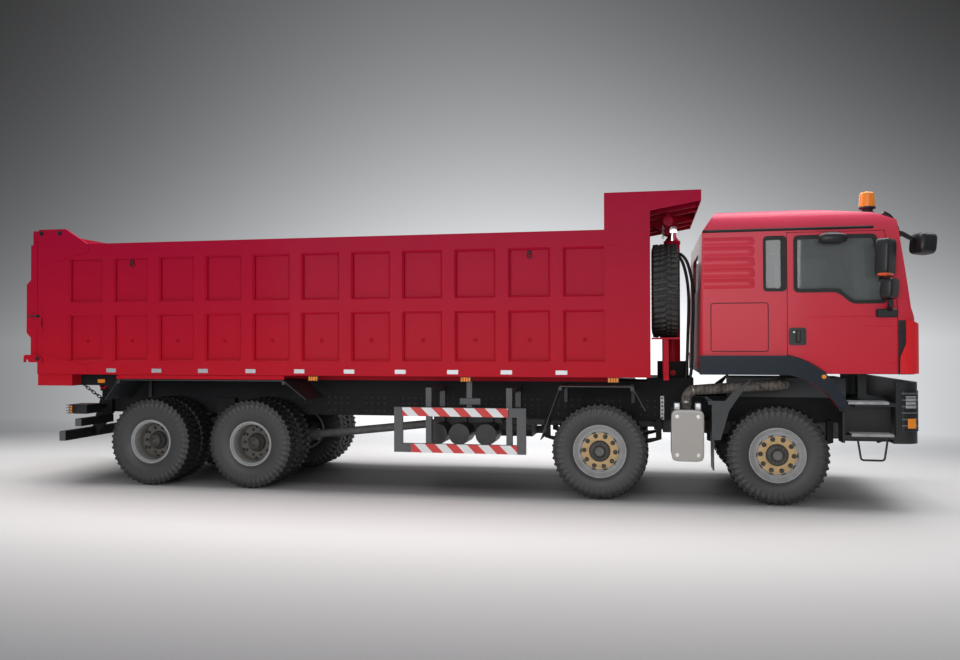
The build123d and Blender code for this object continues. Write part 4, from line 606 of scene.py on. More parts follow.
def tyre_points(bead):
    """Rings of the tyre: wall, shoulder, tread, shoulder, wall, and the hidden inner ring that closes it.

    A groove is a step down in r. On the tread, r = R - GROOVE (1 - block), where block is 0 in a groove and
    1 on a block; it depends on the angle in pitches and on u, which runs from -1 to 1 across.
    """
    half = TYRE_W / 2
    wall = smooth_line(WALL, WALL_STEPS)
    across = np.linspace(-0.90, 0.90, TREAD_ROWS)
    left = np.stack([bead + wall[:, 0] * (TYRE_R - bead), wall[:, 1] * half], 1)
    tread = np.stack([TYRE_R - 0.006 * np.abs(across / 0.9) ** 3, across * half], 1)[::-1]
    right = left[::-1] * [1, -1]
    inside = [[bead + 0.002, -0.5 * half], [bead + 0.002, 0.5 * half]]
    section = np.vstack([left[:-1], tread, right[1:], inside])
    a = np.linspace(0, 2 * np.pi, PITCHES * 9, endpoint=False)
    r, out = (np.repeat(section[:, k:k + 1], len(a), 1) for k in (0, 1))
    u = out / half
    turn = a[None, :] * PITCHES / (2 * np.pi)
    # a zigzag groove down the middle of each half, and cross grooves that lean and stagger
    phase = (turn + np.where(u > 0, 0.0, 0.5) + 0.35 * np.abs(u)) % 1.0
    cross = step_up(0.30 - np.abs(phase - 0.5), 0.0, 0.10)
    zig = 0.10 * np.sign(np.sin(2 * np.pi * turn))
    middle = step_up(np.abs(np.abs(u) - 0.40 - zig * 0.5), 0.045, 0.03)
    centre = step_up(np.abs(u + zig * 0.7), 0.035, 0.03)
    block = (1 - cross) * np.where(np.abs(u) > 0.55, 1, np.minimum(middle, centre))
    r = r - GROOVE * (1 - block) * step_up(r, TYRE_R - 0.060, 0.030) * (np.abs(u) < 1.02)
    shoulder = step_up(r, TYRE_R - 0.115, 0.02) * (1 - step_up(r, TYRE_R - 0.045, 0.02))
    out = out + np.sign(out) * SHOULDER * shoulder * (1 - cross)
    ring = np.exp(-((r - bead - 0.075) / 0.008) ** 2) + np.exp(-((r - bead - 0.035) / 0.006) ** 2)
    out = out - np.sign(out) * 0.0025 * ring * (np.abs(u) > 0.7)
    return np.stack([r * np.cos(a), out, r * np.sin(a)], -1)


def make_tyre(name, centre, body, bead, node, across_x=False):
    grid = tyre_points(bead)
    if across_x:
        grid = grid[..., [1, 0, 2]] * [1, -1, 1]
    rows, columns = grid.shape[:2]
    faces = grid_faces(rows, columns, close_rows=True, close_columns=True)
    thing = piece(name, grid + np.asarray(centre), faces, "tread_rubber", body, stands_for=node, slot="tyre")
    thing.data.materials.append(FINISHES["wall_rubber"])
    row = np.arange(rows * columns) // columns
    first = (len(WALL) - 1) * WALL_STEPS
    on_wall = (row < first - 5) | (row > first + TREAD_ROWS + 4)
    thing.data.polygons.foreach_set("material_index", on_wall.astype(int))


# %% [markdown]
# ## Wheels
# A steered wheel bulges outwards: a silver rim, a pale ring of ten nuts and a black hub. A twin's outer rim
# is turned the other way, so its disc lies deep inside and the hub looks out of a dish. Profiles are (radius,
# outwards).

# %% Rims, nuts and hubs
RIM_FRONT, RIM_REAR, UNDER_TYRE = 0.302, 0.276, 0.006
NUTS, NUT_RING = 10, 0.1675


def ring_piece(name, profile, centre, side, finish, body, node, around=72, close=False):
    """A profile turned about the axle, outwards being side."""
    grid = turned(profile, around) * [1, side, 1] + np.asarray(centre)
    faces = grid_faces(*grid.shape[:2], close_rows=close, close_columns=True)
    piece(name, grid, faces, finish, body, stands_for=node, slot="tyre")


def round_the_hub(centre, side, radius, count, out, phase=0.0):
    """Points evenly spaced round a wheel's axis, out metres beyond its centre, with the direction of each."""
    for a in np.linspace(0, 2 * np.pi, count, endpoint=False) + phase:
        outwards = np.array([math.cos(a), 0, math.sin(a)])
        yield np.asarray(centre) + outwards * radius + [0, side * out, 0], outwards


def nuts(batch, centre, side, radius, count, out, size, length, phase=0.0):
    """Hexagonal nuts round a circle, each on its washer and with its stud's end."""
    for spot, _ in round_the_hub(centre, side, radius, count, out, phase):
        for first, last, wide, around in ((0, 0.25, 1.35, 14), (0.2, 1.0, 1.0, 6), (0.9, 1.35, 0.6, 10)):
            ends = [spot + [0, side * length * share, 0] for share in (first, last)]
            batch.rod(*ends, size * wide, around)
    return batch


def steered_wheel(tag, x, side):
    body, centre, r = f"wheel_{tag}", (x, side * TRACK_FRONT / 2, TYRE_R), RIM_FRONT
    as_tyre = {"stands_for": body, "slot": "tyre"}
    make_tyre(f"tyre_{tag}", centre, body, r - UNDER_TYRE, body)
    lip = [(r - 0.030, -0.120), (r + 0.008, -0.128), (r + 0.008, -0.116), (r - 0.014, -0.108), (r - 0.020,
                                                                                                0.085),
           (r, 0.100), (r + 0.010, 0.112), (r + 0.012, 0.124), (r + 0.004, 0.131), (r - 0.010, 0.128),
           (r - 0.018, 0.116), (r - 0.030, 0.112), (r - 0.038, 0.100), (r - 0.060, 0.094), (0.234, 0.100),
           (0.226, 0.104), (0.216, 0.101), (0.210, 0.086), (0.210, 0.060), (r - 0.050, 0.050), (r - 0.036,
                                                                                                0.040)]
    ring_piece(f"rim_{tag}", smooth_line(lip, 2), centre, side, "rim_silver", body, body, close=True)
    seat = [(0.216, 0.060), (0.216, 0.092), (0.211, 0.096), (0.132, 0.096), (0.126, 0.092), (0.110, 0.088),
            (0.110, 0.060)]
    ring_piece(f"nut_ring_{tag}", seat, centre, side, "rim_gold", body, body, close=True)
    hub = [(0.0, 0.152), (0.020, 0.152), (0.052, 0.150), (0.060, 0.144), (0.064, 0.122), (0.076, 0.116),
           (0.104, 0.114), (0.118, 0.106), (0.124, 0.096), (0.124, 0.060), (0.090, -0.04), (0.0, -0.04)]
    ring_piece(f"hub_{tag}", hub, centre, side, "hub_black", body, body)
    cap = [(0.0, 0.1545), (0.040, 0.1540), (0.051, 0.1525), (0.055, 0.147), (0.050, 0.140)]
    ring_piece(f"hub_cap_{tag}", cap, centre, side, "machine_grey", body, body)
    nuts(Batch(), centre, side, 0.181, NUTS, 0.093, 0.0205, 0.026, -0.05).make(
        f"wheel_nuts_{tag}", "hub_black", body, **as_tyre)
    nuts(Batch(), centre, side, 0.094, 15, 0.110, 0.006, 0.010).make(
        f"hub_bolts_{tag}", "machine_grey", body, **as_tyre)
    # the rim's slots are dark bars on its face: painted shade where the openings are
    slots = Batch()
    for spot, outwards in round_the_hub(centre, side, 0.221, 10, 0.1020):
        along = np.array([-outwards[2], 0, outwards[0]]) * 0.024
        slots.rod(spot - along, spot + along, 0.0065, 8)
    slots.make(f"rim_slots_{tag}", "seal_rubber_and_hole_shade", body, smooth=True, **as_tyre)


def twin_wheels(tag, x, side):
    body, middle, r = f"wheels_{tag}", side * TRACK_REAR / 2, RIM_REAR
    as_tyre = {"stands_for": body, "slot": "tyre"}
    lip = [(r - 0.030, -0.120), (r + 0.006, -0.128), (r + 0.006, -0.114), (r - 0.016, -0.104), (r - 0.020,
                                                                                                0.090),
           (r, 0.102), (r + 0.008, 0.116), (r + 0.008, 0.126), (r, 0.131), (r - 0.012, 0.128), (r - 0.020,
                                                                                                0.114),
           (r - 0.030, 0.108), (r - 0.036, 0.080), (r - 0.040, 0.0), (r - 0.036, -0.100)]
    for place, way in (("inner", -1), ("outer", 1)):
        centre = (x, middle + way * side * TWIN / 2, TYRE_R)
        make_tyre(f"tyre_{tag}_{place}", centre, body, r - UNDER_TYRE, body)
        ring_piece(f"rim_{tag}_{place}", smooth_line(lip, 2), centre, side * way, "rim_silver", body, body,
                   close=True)
    dish = [(r - 0.038, 0.030), (r - 0.050, -0.020), (0.215, -0.052), (0.205, -0.058), (0.130, -0.060),
            (0.118, -0.060), (0.118, -0.072), (0.205, -0.072), (0.225, -0.062), (r - 0.044, -0.020)]
    ring_piece(f"dish_{tag}", dish, centre, side, "dish_grey", body, body, close=True)
    hub = [(0.0, 0.060), (0.025, 0.060), (0.030, 0.052), (0.072, 0.050), (0.082, 0.040), (0.086, 0.0),
           (0.104, -0.012), (0.112, -0.020), (0.118, -0.072), (0.118, -0.300), (0.0, -0.300)]
    ring_piece(f"hub_{tag}", hub, centre, side, "hub_black", body, body)
    fasten = nuts(Batch(), centre, side, NUT_RING, NUTS, -0.060, 0.0165, 0.026)
    for spot, _ in round_the_hub(centre, side, 0.062, 8, 0.048, 0.2):
        fasten.rod(spot, spot + [0, side * 0.010, 0], 0.008, 6)
    fasten.make(f"wheel_nuts_{tag}", "hub_black", body, **as_tyre)
    # the dish's hand holes are thin dark discs: painted shade where the openings are
    holes = Batch()
    for spot, _ in round_the_hub(centre, side, 0.212, 6, -0.050, 0.5):
        holes.rod(spot, spot - [0, side * 0.010, 0], 0.026, 16)
    holes.make(f"hand_holes_{tag}", "seal_rubber_and_hole_shade", body, smooth=True, **as_tyre)


for letter, side in SIDES.items():
    for number, x in STEERED.items():
        steered_wheel(number + letter, x, side)
    for number, x in DRIVEN.items():
        twin_wheels(number + letter, x, side)
spare_centre = np.mean(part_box("spare_wheel"), 0) - [SHIFT, 0, 0]
make_tyre("spare_tyre", spare_centre, "chassis", RIM_REAR - UNDER_TYRE, "spare_wheel", across_x=True)
spare_rim = [(RIM_REAR - 0.03, -0.120), (RIM_REAR + 0.008, -0.128), (RIM_REAR - 0.016, -0.100),
             (RIM_REAR - 0.02, 0.09), (RIM_REAR + 0.008, 0.128), (RIM_REAR - 0.012, 0.128), (RIM_REAR - 0.036,
                                                                                             0.100),
             (0.215, 0.062), (0.120, 0.062), (0.120, 0.048), (0.215, 0.048), (RIM_REAR - 0.04, 0.060)]
grid = turned(spare_rim, 64)[..., [1, 0, 2]] * [1, -1, 1] + spare_centre
piece("spare_rim", grid, grid_faces(*grid.shape[:2], close_rows=True, close_columns=True), "rim_silver",
      "chassis",
      stands_for="spare_wheel", slot="tyre")
print("wheels dressed")

# %% [markdown]
# ## Outlines, rounded shells and bolts
# Trim is mostly thin: a rubber frame round a window, a groove round a hatch, a plate with round corners. Each
# starts from a few corner points, whose corners are then rounded by a formula, so that a size is easy to
# change.


# %% Rounded outlines and thin rings
def rounded(corners, radius, steps=5, closed=True):
    """Corners cut round: a quadratic curve near each, leaving along one edge and arriving along the next."""
    p = np.asarray(corners, float)
    before, after = np.roll(p, 1, 0), np.roll(p, -1, 0)
    leave = (before - p) / np.linalg.norm(before - p, axis=1)[:, None]
    arrive = (after - p) / np.linalg.norm(after - p, axis=1)[:, None]
    t = np.linspace(0, 1, steps)[None, :, None]
    first, last = (p + leave * radius)[:, None], (p + arrive * radius)[:, None]
    curve = (1 - t) ** 2 * first + 2 * t * (1 - t) * p[:, None] + t**2 * last
    if closed:
        return curve.reshape(-1, p.shape[1])
    return np.vstack([p[:1], curve[1:-1].reshape(-1, p.shape[1]), p[-1:]])


def panel(x0, z0, x1, z1, radius, steps=5):
    """An upright rectangle with round corners."""
    return rounded([(x0, z0), (x1, z0), (x1, z1), (x0, z1)], radius, steps)


def grown(corners, amount):
    """The same corners moved outwards: each along the sum of its two edges' normals."""
    p = np.asarray(corners, float)
    edge = np.roll(p, -1, 0) - p
    normal = np.stack([edge[:, 1], -edge[:, 0]], 1) / np.linalg.norm(edge, axis=1)[:, None]
    other = np.roll(normal, 1, 0)
    return p + amount * (normal + other) / (1 + (normal * other).sum(1))[:, None]


def frame_ring(batch, outer, inner, y0, y1):
    """A flat ring between two outlines of (x, z) with as many points each, from y0 to y1."""
    rings = [np.column_stack([o[:, 0], np.full(len(o), y), o[:, 1]])
             for o, y in ((inner, y0), (outer, y0), (outer, y1), (inner, y1))]
    return batch.grid(np.stack(rings), close_rows=True, close_columns=True)


def pillow(batch, centre, half, power=0.5, turn=0.0, lean=0.0, rows=17, columns=32):
    """A box as round as power says: at 1 an ellipsoid, near 0 a box. Sine and cosine are raised to it."""
    v = np.linspace(-np.pi / 2 + 0.06, np.pi / 2 - 0.06, rows)[:, None]
    c, s = circle(columns)

    def soft(value):
        return np.sign(value) * np.abs(value) ** power

    p = np.stack([soft(np.cos(v)) * soft(c), soft(np.cos(v)) * soft(s), soft(np.sin(v)) + 0 * c], -1) * half
    spin = np.array(Matrix.Rotation(turn, 3, "Z") @ Matrix.Rotation(lean, 3, "Y"))
    return batch.tube(p @ spin.T + np.asarray(centre))


def upright(batch, plan, low, high, thick):
    """A curved plate that stands on a plan of (x, y) points, thick to its left, between two heights."""
    run = np.gradient(plan, axis=0)
    run /= np.linalg.norm(run, axis=1)[:, None]
    back = plan + thick * np.stack([-run[:, 1], run[:, 0]], 1)
    low, high = (np.broadcast_to(level, (len(plan),)) for level in (low, high))
    ring = [np.column_stack([flat, z]) for flat, z in ((plan, low), (back, low), (back, high), (plan, high))]
    return batch.tube(np.stack(ring, 1))


def bolt(batch, x, y, z, size=0.014, length=0.014, side=1):
    """A washer and a hexagonal head that looks out of the truck's side."""
    batch.rod((x, y, z), (x, y + side * length * 0.25, z), size * 1.5)
    batch.rod((x, y + side * length * 0.2, z), (x, y + side * length, z), size, 6)


def face_y(name, x, z):
    """How far out a node's left face lies at (x, z), met by a ray from outside; nan where it meets none."""
    hit, where, _, _ = NODES[name].ray_cast(Vector((x + SHIFT, 3.0, z)), Vector((0, -1, 0)))
    return where.y if hit else math.nan


bpy.context.view_layer.update()

# %% [markdown]
# ## Trim on the bed
# Twelve silver reflectors run along each lower rail, one under every post, with amber markers below them.
# Each lower window has a small ring stud, and two of the upper ones a hook for the cover's rope.

# %% Reflectors, markers, studs and hooks
BAY_PITCH, POST, BAYS, FIRST_BAY = 0.6512, 0.197, 11, -8.879
BED_Y = 1.25
STUD_Z, HOOK_Z, HOOKED_BAYS = 1.865, 2.900, (1, 9)
film, studs, hooks, cells, cases = (Batch() for _ in range(5))
for x in [-9.248, *(-8.272 + BAY_PITCH * np.arange(10)), -1.624]:
    film.box((x - 0.068, BED_Y, 1.458), (x + 0.068, BED_Y + 0.003, 1.508))
for bay in range(BAYS):
    x = FIRST_BAY + bay * BAY_PITCH + (BAY_PITCH - POST) / 2
    y = face_y("bed_side_left", x, STUD_Z)
    c, s = circle(20)
    studs.carried(np.stack([x + 0.020 * c, np.full(20, y + 0.004), STUD_Z + 0.020 * s], 1), 0.006, 8,
                  closed=True)
    studs.rod((x, y, STUD_Z), (x, y + 0.012, STUD_Z), 0.008, 10)
    if bay in HOOKED_BAYS:
        y = face_y("bed_side_left", x, HOOK_Z) + 0.018
        a = np.linspace(-0.5, 3.9, 16)
        hooks.carried(np.stack([x + 0.026 * np.cos(a), np.full(16, y), HOOK_Z - 0.035 - 0.030 * np.sin(a)],
                               1), 0.007, 8)
        hooks.box((x - 0.020, y - 0.018, HOOK_Z - 0.02), (x + 0.020, y + 0.004, HOOK_Z + 0.02), 0.004)
for x, z in ((-5.499, 1.395), (-3.562, 1.397), (-1.817, 1.400)):
    cases.box((x - 0.070, 1.190, z - 0.036), (x + 0.070, 1.212, z + 0.034), 0.006)
    for left in x - 0.060 + 0.031 * np.arange(4):
        cells.box((left, 1.210, z - 0.028), (left + 0.026, 1.224, z + 0.024), 0.005)
cells.box((-8.636, 1.005, 1.307), (-8.526, 1.020, 1.357), 0.006)
film.both().make("reflectors", "reflective_film", "bed")
studs.both().make("window_studs", "bed_red", "bed", smooth=True)
hooks.both().make("rope_hooks", "trim_black", "bed", smooth=True)
cells.both().make("side_marker_cells", "amber_lens", "bed")
cases.both().make("side_marker_cases", "trim_black", "bed")
print("bed trim: 24 reflectors,", 2 * BAYS, "studs")

# %% [markdown]
# The rear pillar carries the latch that steadies the gate half way up, the claw's pin and the bolts of the
# hinge bracket. A black cross box under the tail ends in gussets, and a short chain hangs from it.

# %% Latches, hinge bolts and tail box
latch, dark, tail = Batch(), Batch(), Batch()
latch.plate([(-9.372, 2.262), (-9.278, 2.262), (-9.278, 2.225), (-9.300, 2.205), (-9.300, 2.060), (-9.276,
                                                                                                   2.030),
             (-9.276, 1.988), (-9.336, 1.988), (-9.372, 2.050)], BED_Y, BED_Y + 0.012)
bolt(dark, -9.347, BED_Y + 0.012, 2.196, 0.017, 0.018)
dark.rod((-9.347, BED_Y + 0.020, 2.196), (-9.490, BED_Y + 0.020, 2.200), 0.010, 10)
dark.box((-9.300, BED_Y, 2.060), (-9.292, BED_Y + 0.014, 2.170))
for x, z in ((-9.312, 3.296), (-9.035, 3.291)):
    dark.rod((x, BED_Y, z), (x, BED_Y + 0.012, z), 0.030, 20)
    bolt(dark, x, BED_Y + 0.010, z, 0.019, 0.018)
bolt(dark, -9.339, BED_Y + 0.030, 1.636, 0.022, 0.016)
tail.plate([(-9.018, 1.424), (-8.343, 1.424), (-8.343, 1.300), (-8.420, 1.220), (-8.470, 1.220), (-8.520,
                                                                                                  1.275),
            (-9.018, 1.275)], 0.985, 1.005)
tail.box((-9.018, 0.62, 1.280), (-8.95, 0.985, 1.424))
latch.both().make("gate_latches", "bed_red", "bed", bevel=0.003)
dark.both().make("latch_bolts", "trim_black", "bed")
tail.both().make("tail_box", "frame_black", "bed", bevel=0.004)


def chain(name, start, end, links, size, wire, finish, body):
    """Links along a line: each a stadium of two half circles, turned a quarter from the one before."""
    start, run = np.asarray(start, float), np.subtract(end, start)
    step = np.linalg.norm(run) / links
    run = run / np.linalg.norm(run)
    side = np.cross(run, [0, 1.0, 0])
    side /= np.linalg.norm(side)
    c, s = circle(18)
    along = c * size * 0.5 + np.sign(c) * (step * 0.62 - size * 0.5)
    batch = Batch()
    for k in range(links):
        across = side if k % 2 else np.cross(run, side)
        loop = start + run * step * (k + 0.5) + along[:, None] * run + (s * size * 0.5)[:, None] * across
        batch.carried(loop, wire, 8, closed=True)
    batch.make(name, finish, body, smooth=True)


chain("tail_chain", (-8.850, -1.000, 1.278), (-8.560, -1.000, 1.085), 7, 0.034, 0.006, "trim_black", "bed")
chain("spare_chain", (-1.235, -0.690, 3.240), (-1.235, -0.690, 3.090), 6, 0.022, 0.004, "zinc_steel", "bed")
pulley = Batch().rod((-1.175, -0.715, 3.297), (-1.175, -0.665, 3.297), 0.060, 28)
pulley.rod((-1.175, -0.722, 3.297), (-1.175, -0.658, 3.297), 0.022)
pulley.box((-1.195, -0.700, 3.300), (-1.155, -0.680, 3.440))
pulley.make("spare_winch", "bed_red", "bed", bevel=0.003)

# %% [markdown]
# ## Under the bed
# A red angle lies on the bogie's mudguard. The frame's web is punched with rows of bolt holes, and the side
# guard wears red and white stripes.

# %% Chassis trim
WEB_Y = 0.46
angle, holes, stripes, post = (Batch() for _ in range(4))
angle.box((-8.206, 1.186, 1.374), (-5.891, 1.206, 1.426), 0.003)
angle.rod((-8.196, 1.196, 1.394), (-8.196, 1.214, 1.394), 0.026)
# each bolt hole is a thin dark disc on the web: painted shade where the hole is
for x in np.arange(-6.10, -0.50, 0.085):
    for z in (1.110, 1.035, 0.935):
        y = face_y("frame", x, z)
        if int(x * 100) % 3 and y < WEB_Y:
            holes.rod((x, y, z), (x, y + 0.002, z), 0.011, 10)
for x0, x1, z in ((-4.350, -3.050, 1.000), (-4.240, -2.940, 0.563)):
    stripes.box((x0, 1.215, z - 0.052), (x1, 1.2175, z + 0.052))
post.box((-3.575, 1.075, 1.050), (-3.505, 1.115, 1.405), 0.004)
post.box((-3.657, 1.070, 1.085), (-3.398, 1.125, 1.165), 0.006)
angle.both().make("mudguard_angles", "bed_red", "chassis")
holes.both().make("frame_holes", "seal_rubber_and_hole_shade", "chassis")
stripes.both().make("guard_stripes", "striped_bar", "chassis")
post.both().make("guard_posts", "guard_grey", "chassis")

# %% [markdown]
# The exhaust pipe is wrapped in glass cloth. Its silencer hides behind a pale pressed shield, held by four
# bolts, under two zinc clamps. A punched zinc strip stands beside it on the frame.

# %% Exhaust
PIPE_R, SHIELD_Y = 0.0615, -1.1505
route = [(0.150, -0.42, 1.340), (0.150, -0.800, 1.340), (-0.980, -0.900, 1.270), (-0.980, -0.900, 1.045)]
line = smooth_line(rounded(route, 0.13, 7, closed=False), 5)
walk = np.concatenate([[0], np.cumsum(np.linalg.norm(np.diff(line, axis=0), axis=1))])
creased = PIPE_R + 0.003 * np.sin(walk * 150) * np.sin(walk * 37)
Batch().carried(line, creased, 20).make("exhaust_lagging", "pipe_lagging", "chassis", smooth=True)
clamps = Batch()
for share in (0.34, 0.62, 0.93):
    index = int(share * len(line))
    clamps.carried(line[index - 1:index + 2], PIPE_R + 0.005, 20)
clamps.make("pipe_clamps", "zinc_steel", "chassis")
plate = panel(-1.162, 0.470, -0.797, 1.062, 0.085, 8)
middle = plate.mean(0)
rings = []
for inset, crown in ((1.0, 0.0), (1.0, 0.0075), (0.965, 0.0125), (0.90, 0.0145)):
    x, z = (middle + (plate - middle) * inset).T
    rings.append(np.stack([x, np.full(len(x), SHIELD_Y - crown), z], 1))
shield, n = Batch().grid(np.stack(rings), close_columns=True), len(plate)
shield.points.append(np.array([[middle[0], SHIELD_Y - 0.0155, middle[1]]]))
last_ring = 3 * n + np.arange(n)
shield.faces += np.stack([last_ring, np.roll(last_ring, -1), np.full(n, 4 * n)], 1).tolist()
shield.faces += [list(range(n))[::-1]]
shield.make("exhaust_shield", "shield_paint", "chassis")
fixings, strip, punched = Batch(), Batch(), Batch()
for x in middle[0] + np.array([-0.118, 0.118]):
    for z in (0.545, 0.985):
        fixings.rod((x, -1.164, z), (x, -1.168, z), 0.022, 20)
        bolt(fixings, x, -1.166, z, 0.012, 0.012, side=-1)
    strip.box((x - 0.035, -1.140, 1.058), (x + 0.035, -1.060, 1.140), 0.006)
    bolt(fixings, x, -1.140, 1.110, 0.016, 0.014, side=-1)
strip.box((-1.275, -0.470, 0.880), (-1.225, -0.440, 1.175), 0.004)
# the strip's holes are thin dark discs: painted shade where the holes are
for z in 0.905 + 0.048 * np.arange(6):
    punched.rod((-1.250, -0.470, z), (-1.250, -0.4725, z), 0.012, 12)
fixings.make("shield_bolts", "bright_steel", "chassis")
strip.make("exhaust_brackets", "zinc_steel", "chassis")
punched.make("bracket_holes", "seal_rubber_and_hole_shade", "chassis")

# %% [markdown]
# ## Rear lamps
# Each lamp box shows three amber cells to the side and red, amber and clear lenses to the rear, behind a
# guard of four bent bars. The underrun's bars end in paler plates.

# %% Rear lamps
REAR_X = -8.980
ambers, reds, clears, guards, ends, shell = (Batch() for _ in range(6))
shell.box((-8.920, 0.80, 0.900), (-8.720, 1.125, 1.022), 0.006)
for z in 0.915 + 0.034 * np.arange(3):
    ambers.box((-8.968, 1.128, z), (-8.930, 1.136, z + 0.026), 0.004)
for k, batch in enumerate((ambers, reds, reds, clears)):
    y = 1.118 - 0.080 * k
    batch.box((REAR_X - 0.006, y, 0.915), (REAR_X + 0.004, y - 0.070, 1.005), 0.004)
for z in 0.908 + 0.035 * np.arange(4):
    bar = [(REAR_X + 0.03, 1.142, z), (REAR_X - 0.035, 1.142, z), (REAR_X - 0.035, 0.800, z), (REAR_X + 0.03,
                                                                                               0.795, z)]
    guards.carried(rounded(bar, 0.02, 4, closed=False), 0.006, 8)
ends.box((-9.127, 1.120, 0.538), (-9.037, 1.124, 0.665))
ends.box((-8.890, 1.120, 0.735), (-8.800, 1.124, 0.835))
shell.both().make("lamp_cases", "trim_black", "chassis")
ambers.both().make("rear_amber_cells", "amber_lens", "chassis")
reds.both().make("rear_red_cells", "red_lens", "chassis")
clears.both().make("rear_clear_cells", "reflective_film", "chassis")
guards.both().make("lamp_guards", "zinc_steel", "chassis", smooth=True)
ends.both().make("bar_ends", "guard_grey", "chassis")

# %% [markdown]
# ## The cab's side
# The skin is flat up to the drip rail, at 1.215 m from the middle line. Five pressed swells stiffen the panel
# behind the door, and thin creases run across the door. Dark rubber frames the windows.

# %% Swells, creases, hatch, window frames and drip rail
DOOR_WINDOW = [(0.200, 2.414), (0.646, 2.414), (0.789, 2.284), (1.106, 2.284), (1.009, 2.992), (0.200, 2.992)]
x = np.linspace(-0.800, -0.215, 60)[:, None]
z = np.linspace(2.400, 3.030, 120)[None, :]
fade = np.clip((-0.235 - x) / 0.07, 0, 1) * np.clip((z - 2.425) / 0.02, 0, 1) * np.clip((3.025 - z) / 0.05, 0,
                                                                                        1)
swell = np.abs(np.sin(np.pi * (z - 2.431) / 0.1215)) ** 0.55 * np.sqrt(fade)
pressed = np.stack([x + 0 * z, CAB_Y - 0.004 + 0.017 * swell, z + 0 * x], -1)
Batch().grid(pressed).pair("side_swells", "cab_red", "cab", smooth=True, sheet=True)

creases = Batch()
across = np.linspace(0, 1, 7)[None, :]
for x0, x1, level in ((0.215, 1.205, 2.100), (0.809, 1.205, 1.990), (0.836, 1.205, 1.597)):
    x = np.linspace(x0, x1, 40)[:, None]
    taper = np.clip((x - x0) / 0.25, 0, 1) ** 0.7 * np.clip((x1 - x) / 0.02, 0, 1)
    rise = CAB_Y - 0.001 + 0.0065 * taper * np.sin(np.pi * across**0.5)
    creases.grid(np.stack([x + 0 * across, rise, level + 0.034 * (across - 0.2) + 0 * x], -1))
creases.pair("door_creases", "cab_red", "door_{}", smooth=True, sheet=True)

groove = panel(-0.720, 1.730, -0.100, 2.275, 0.035)
gap = Batch().carried(np.column_stack([groove[:, 0], np.full(len(groove), CAB_Y), groove[:, 1]]), 0.0045, 8,
                      closed=True)
rail = [(-0.806, CAB_Y + 0.002, 3.090), (0.2, CAB_Y + 0.002, 3.093), (1.000, CAB_Y + 0.002, 3.094)]
gap.carried(smooth_line(rail, 12), 0.0165, 12)
gap.pair("hatch_gap_and_drip_rail", "seal_rubber_and_hole_shade", "cab", smooth=True)

quarter = frame_ring(Batch(), panel(-0.152, 2.400, 0.098, 3.022, 0.050), panel(-0.122, 2.436, 0.040, 2.982,
                                                                               0.030),
                     CAB_Y - 0.02, CAB_Y + 0.005)
quarter.pair("quarter_frame", "seal_rubber_and_hole_shade", "cab")
door_frame = frame_ring(Batch(), rounded(grown(DOOR_WINDOW, 0.030), 0.060), rounded(grown(DOOR_WINDOW,
                                                                                          -0.012), 0.035),
                        CAB_Y - 0.02, CAB_Y + 0.005)
door_frame.pair("door_frame", "seal_rubber_and_hole_shade", "door_{}")

handle = frame_ring(Batch(), panel(0.118, 1.800, 0.300, 1.994, 0.030), panel(0.148, 1.826, 0.280, 1.970,
                                                                             0.022),
                    CAB_Y - 0.002, CAB_Y + 0.012)
handle.box((0.140, CAB_Y - 0.002, 1.820), (0.288, CAB_Y + 0.002, 1.976))
handle.box((0.192, CAB_Y + 0.002, 1.832), (0.240, CAB_Y + 0.026, 1.964), 0.008)
handle.pair("door_handle", "trim_black", "door_{}")
Batch().rod((0.172, CAB_Y + 0.001, 1.945), (0.172, CAB_Y + 0.008, 1.945), 0.010).pair(
    "door_lock", "bright_steel", "door_{}")
print("cab sides trimmed")

# %% [markdown]
# ## Cab corners, lamps and steps
# In front of each door a black strip with slanted louvres leads air round the corner, under a red deflector
# that stands off the skin. The lamp unit wraps round the bumper's corner, and the treads are capped with
# ribbed alloy.

# %% Louvres, deflector, lamps and steps
louvres = Batch().box((1.250, CAB_Y, 1.490), (1.318, CAB_Y + 0.004, 2.070))
for z in 1.545 + 0.064 * np.arange(8):
    blade = [(1.252, z), (1.330, z + 0.050), (1.330, z + 0.060), (1.252, z + 0.012)]
    louvres.plate(blade, CAB_Y + 0.002, CAB_Y + 0.026)
louvres.pair("corner_louvres", "trim_black", "cab")


def corner(radius, first, last, centre=(1.304, 1.050), steps=14):
    """Points (x, y) round an upright axis, between two angles counted from the truck's side to its front."""
    a = np.radians(np.linspace(first, last, steps))
    return np.stack([centre[0] + radius[0] * np.sin(a), centre[1] + radius[1] * np.cos(a)], 1)


plan = np.vstack([[1.318, 1.2475], corner((0.176, 0.178), 8, 80, (1.302, 1.065), 16)])
deflector = upright(Batch(), plan, 1.487, 2.078 - 0.055 * np.linspace(0, 1, len(plan)), 0.012)
foot = [(1.256, 1.487), (1.345, 1.487), (1.345, 1.840), (1.318, 1.816), (1.262, 1.675)]
deflector.plate(foot, CAB_Y + 0.0265, CAB_Y + 0.0345)
deflector.pair("corner_deflector", "flare_red", "cab", bevel=0.003)
UNIT_R, LENS_R = (0.178, 0.178), (0.190, 0.190)
upright(Batch(), corner(UNIT_R, -10, 56), 0.862, 1.306, 0.012).pair("lamp_unit", "lamp_black", "chassis",
                                                                    bevel=0.002)
upright(Batch(), corner(LENS_R, 2, 38), 1.112, 1.246, 0.006).pair("headlamp", "lamp_reflector", "chassis",
                                                                  bevel=0.002)
upright(Batch(), corner(LENS_R, 8, 38), 0.897, 1.003, 0.006).pair("turn_lamp", "amber_lens", "chassis",
                                                                  bevel=0.002)
treads = Batch()
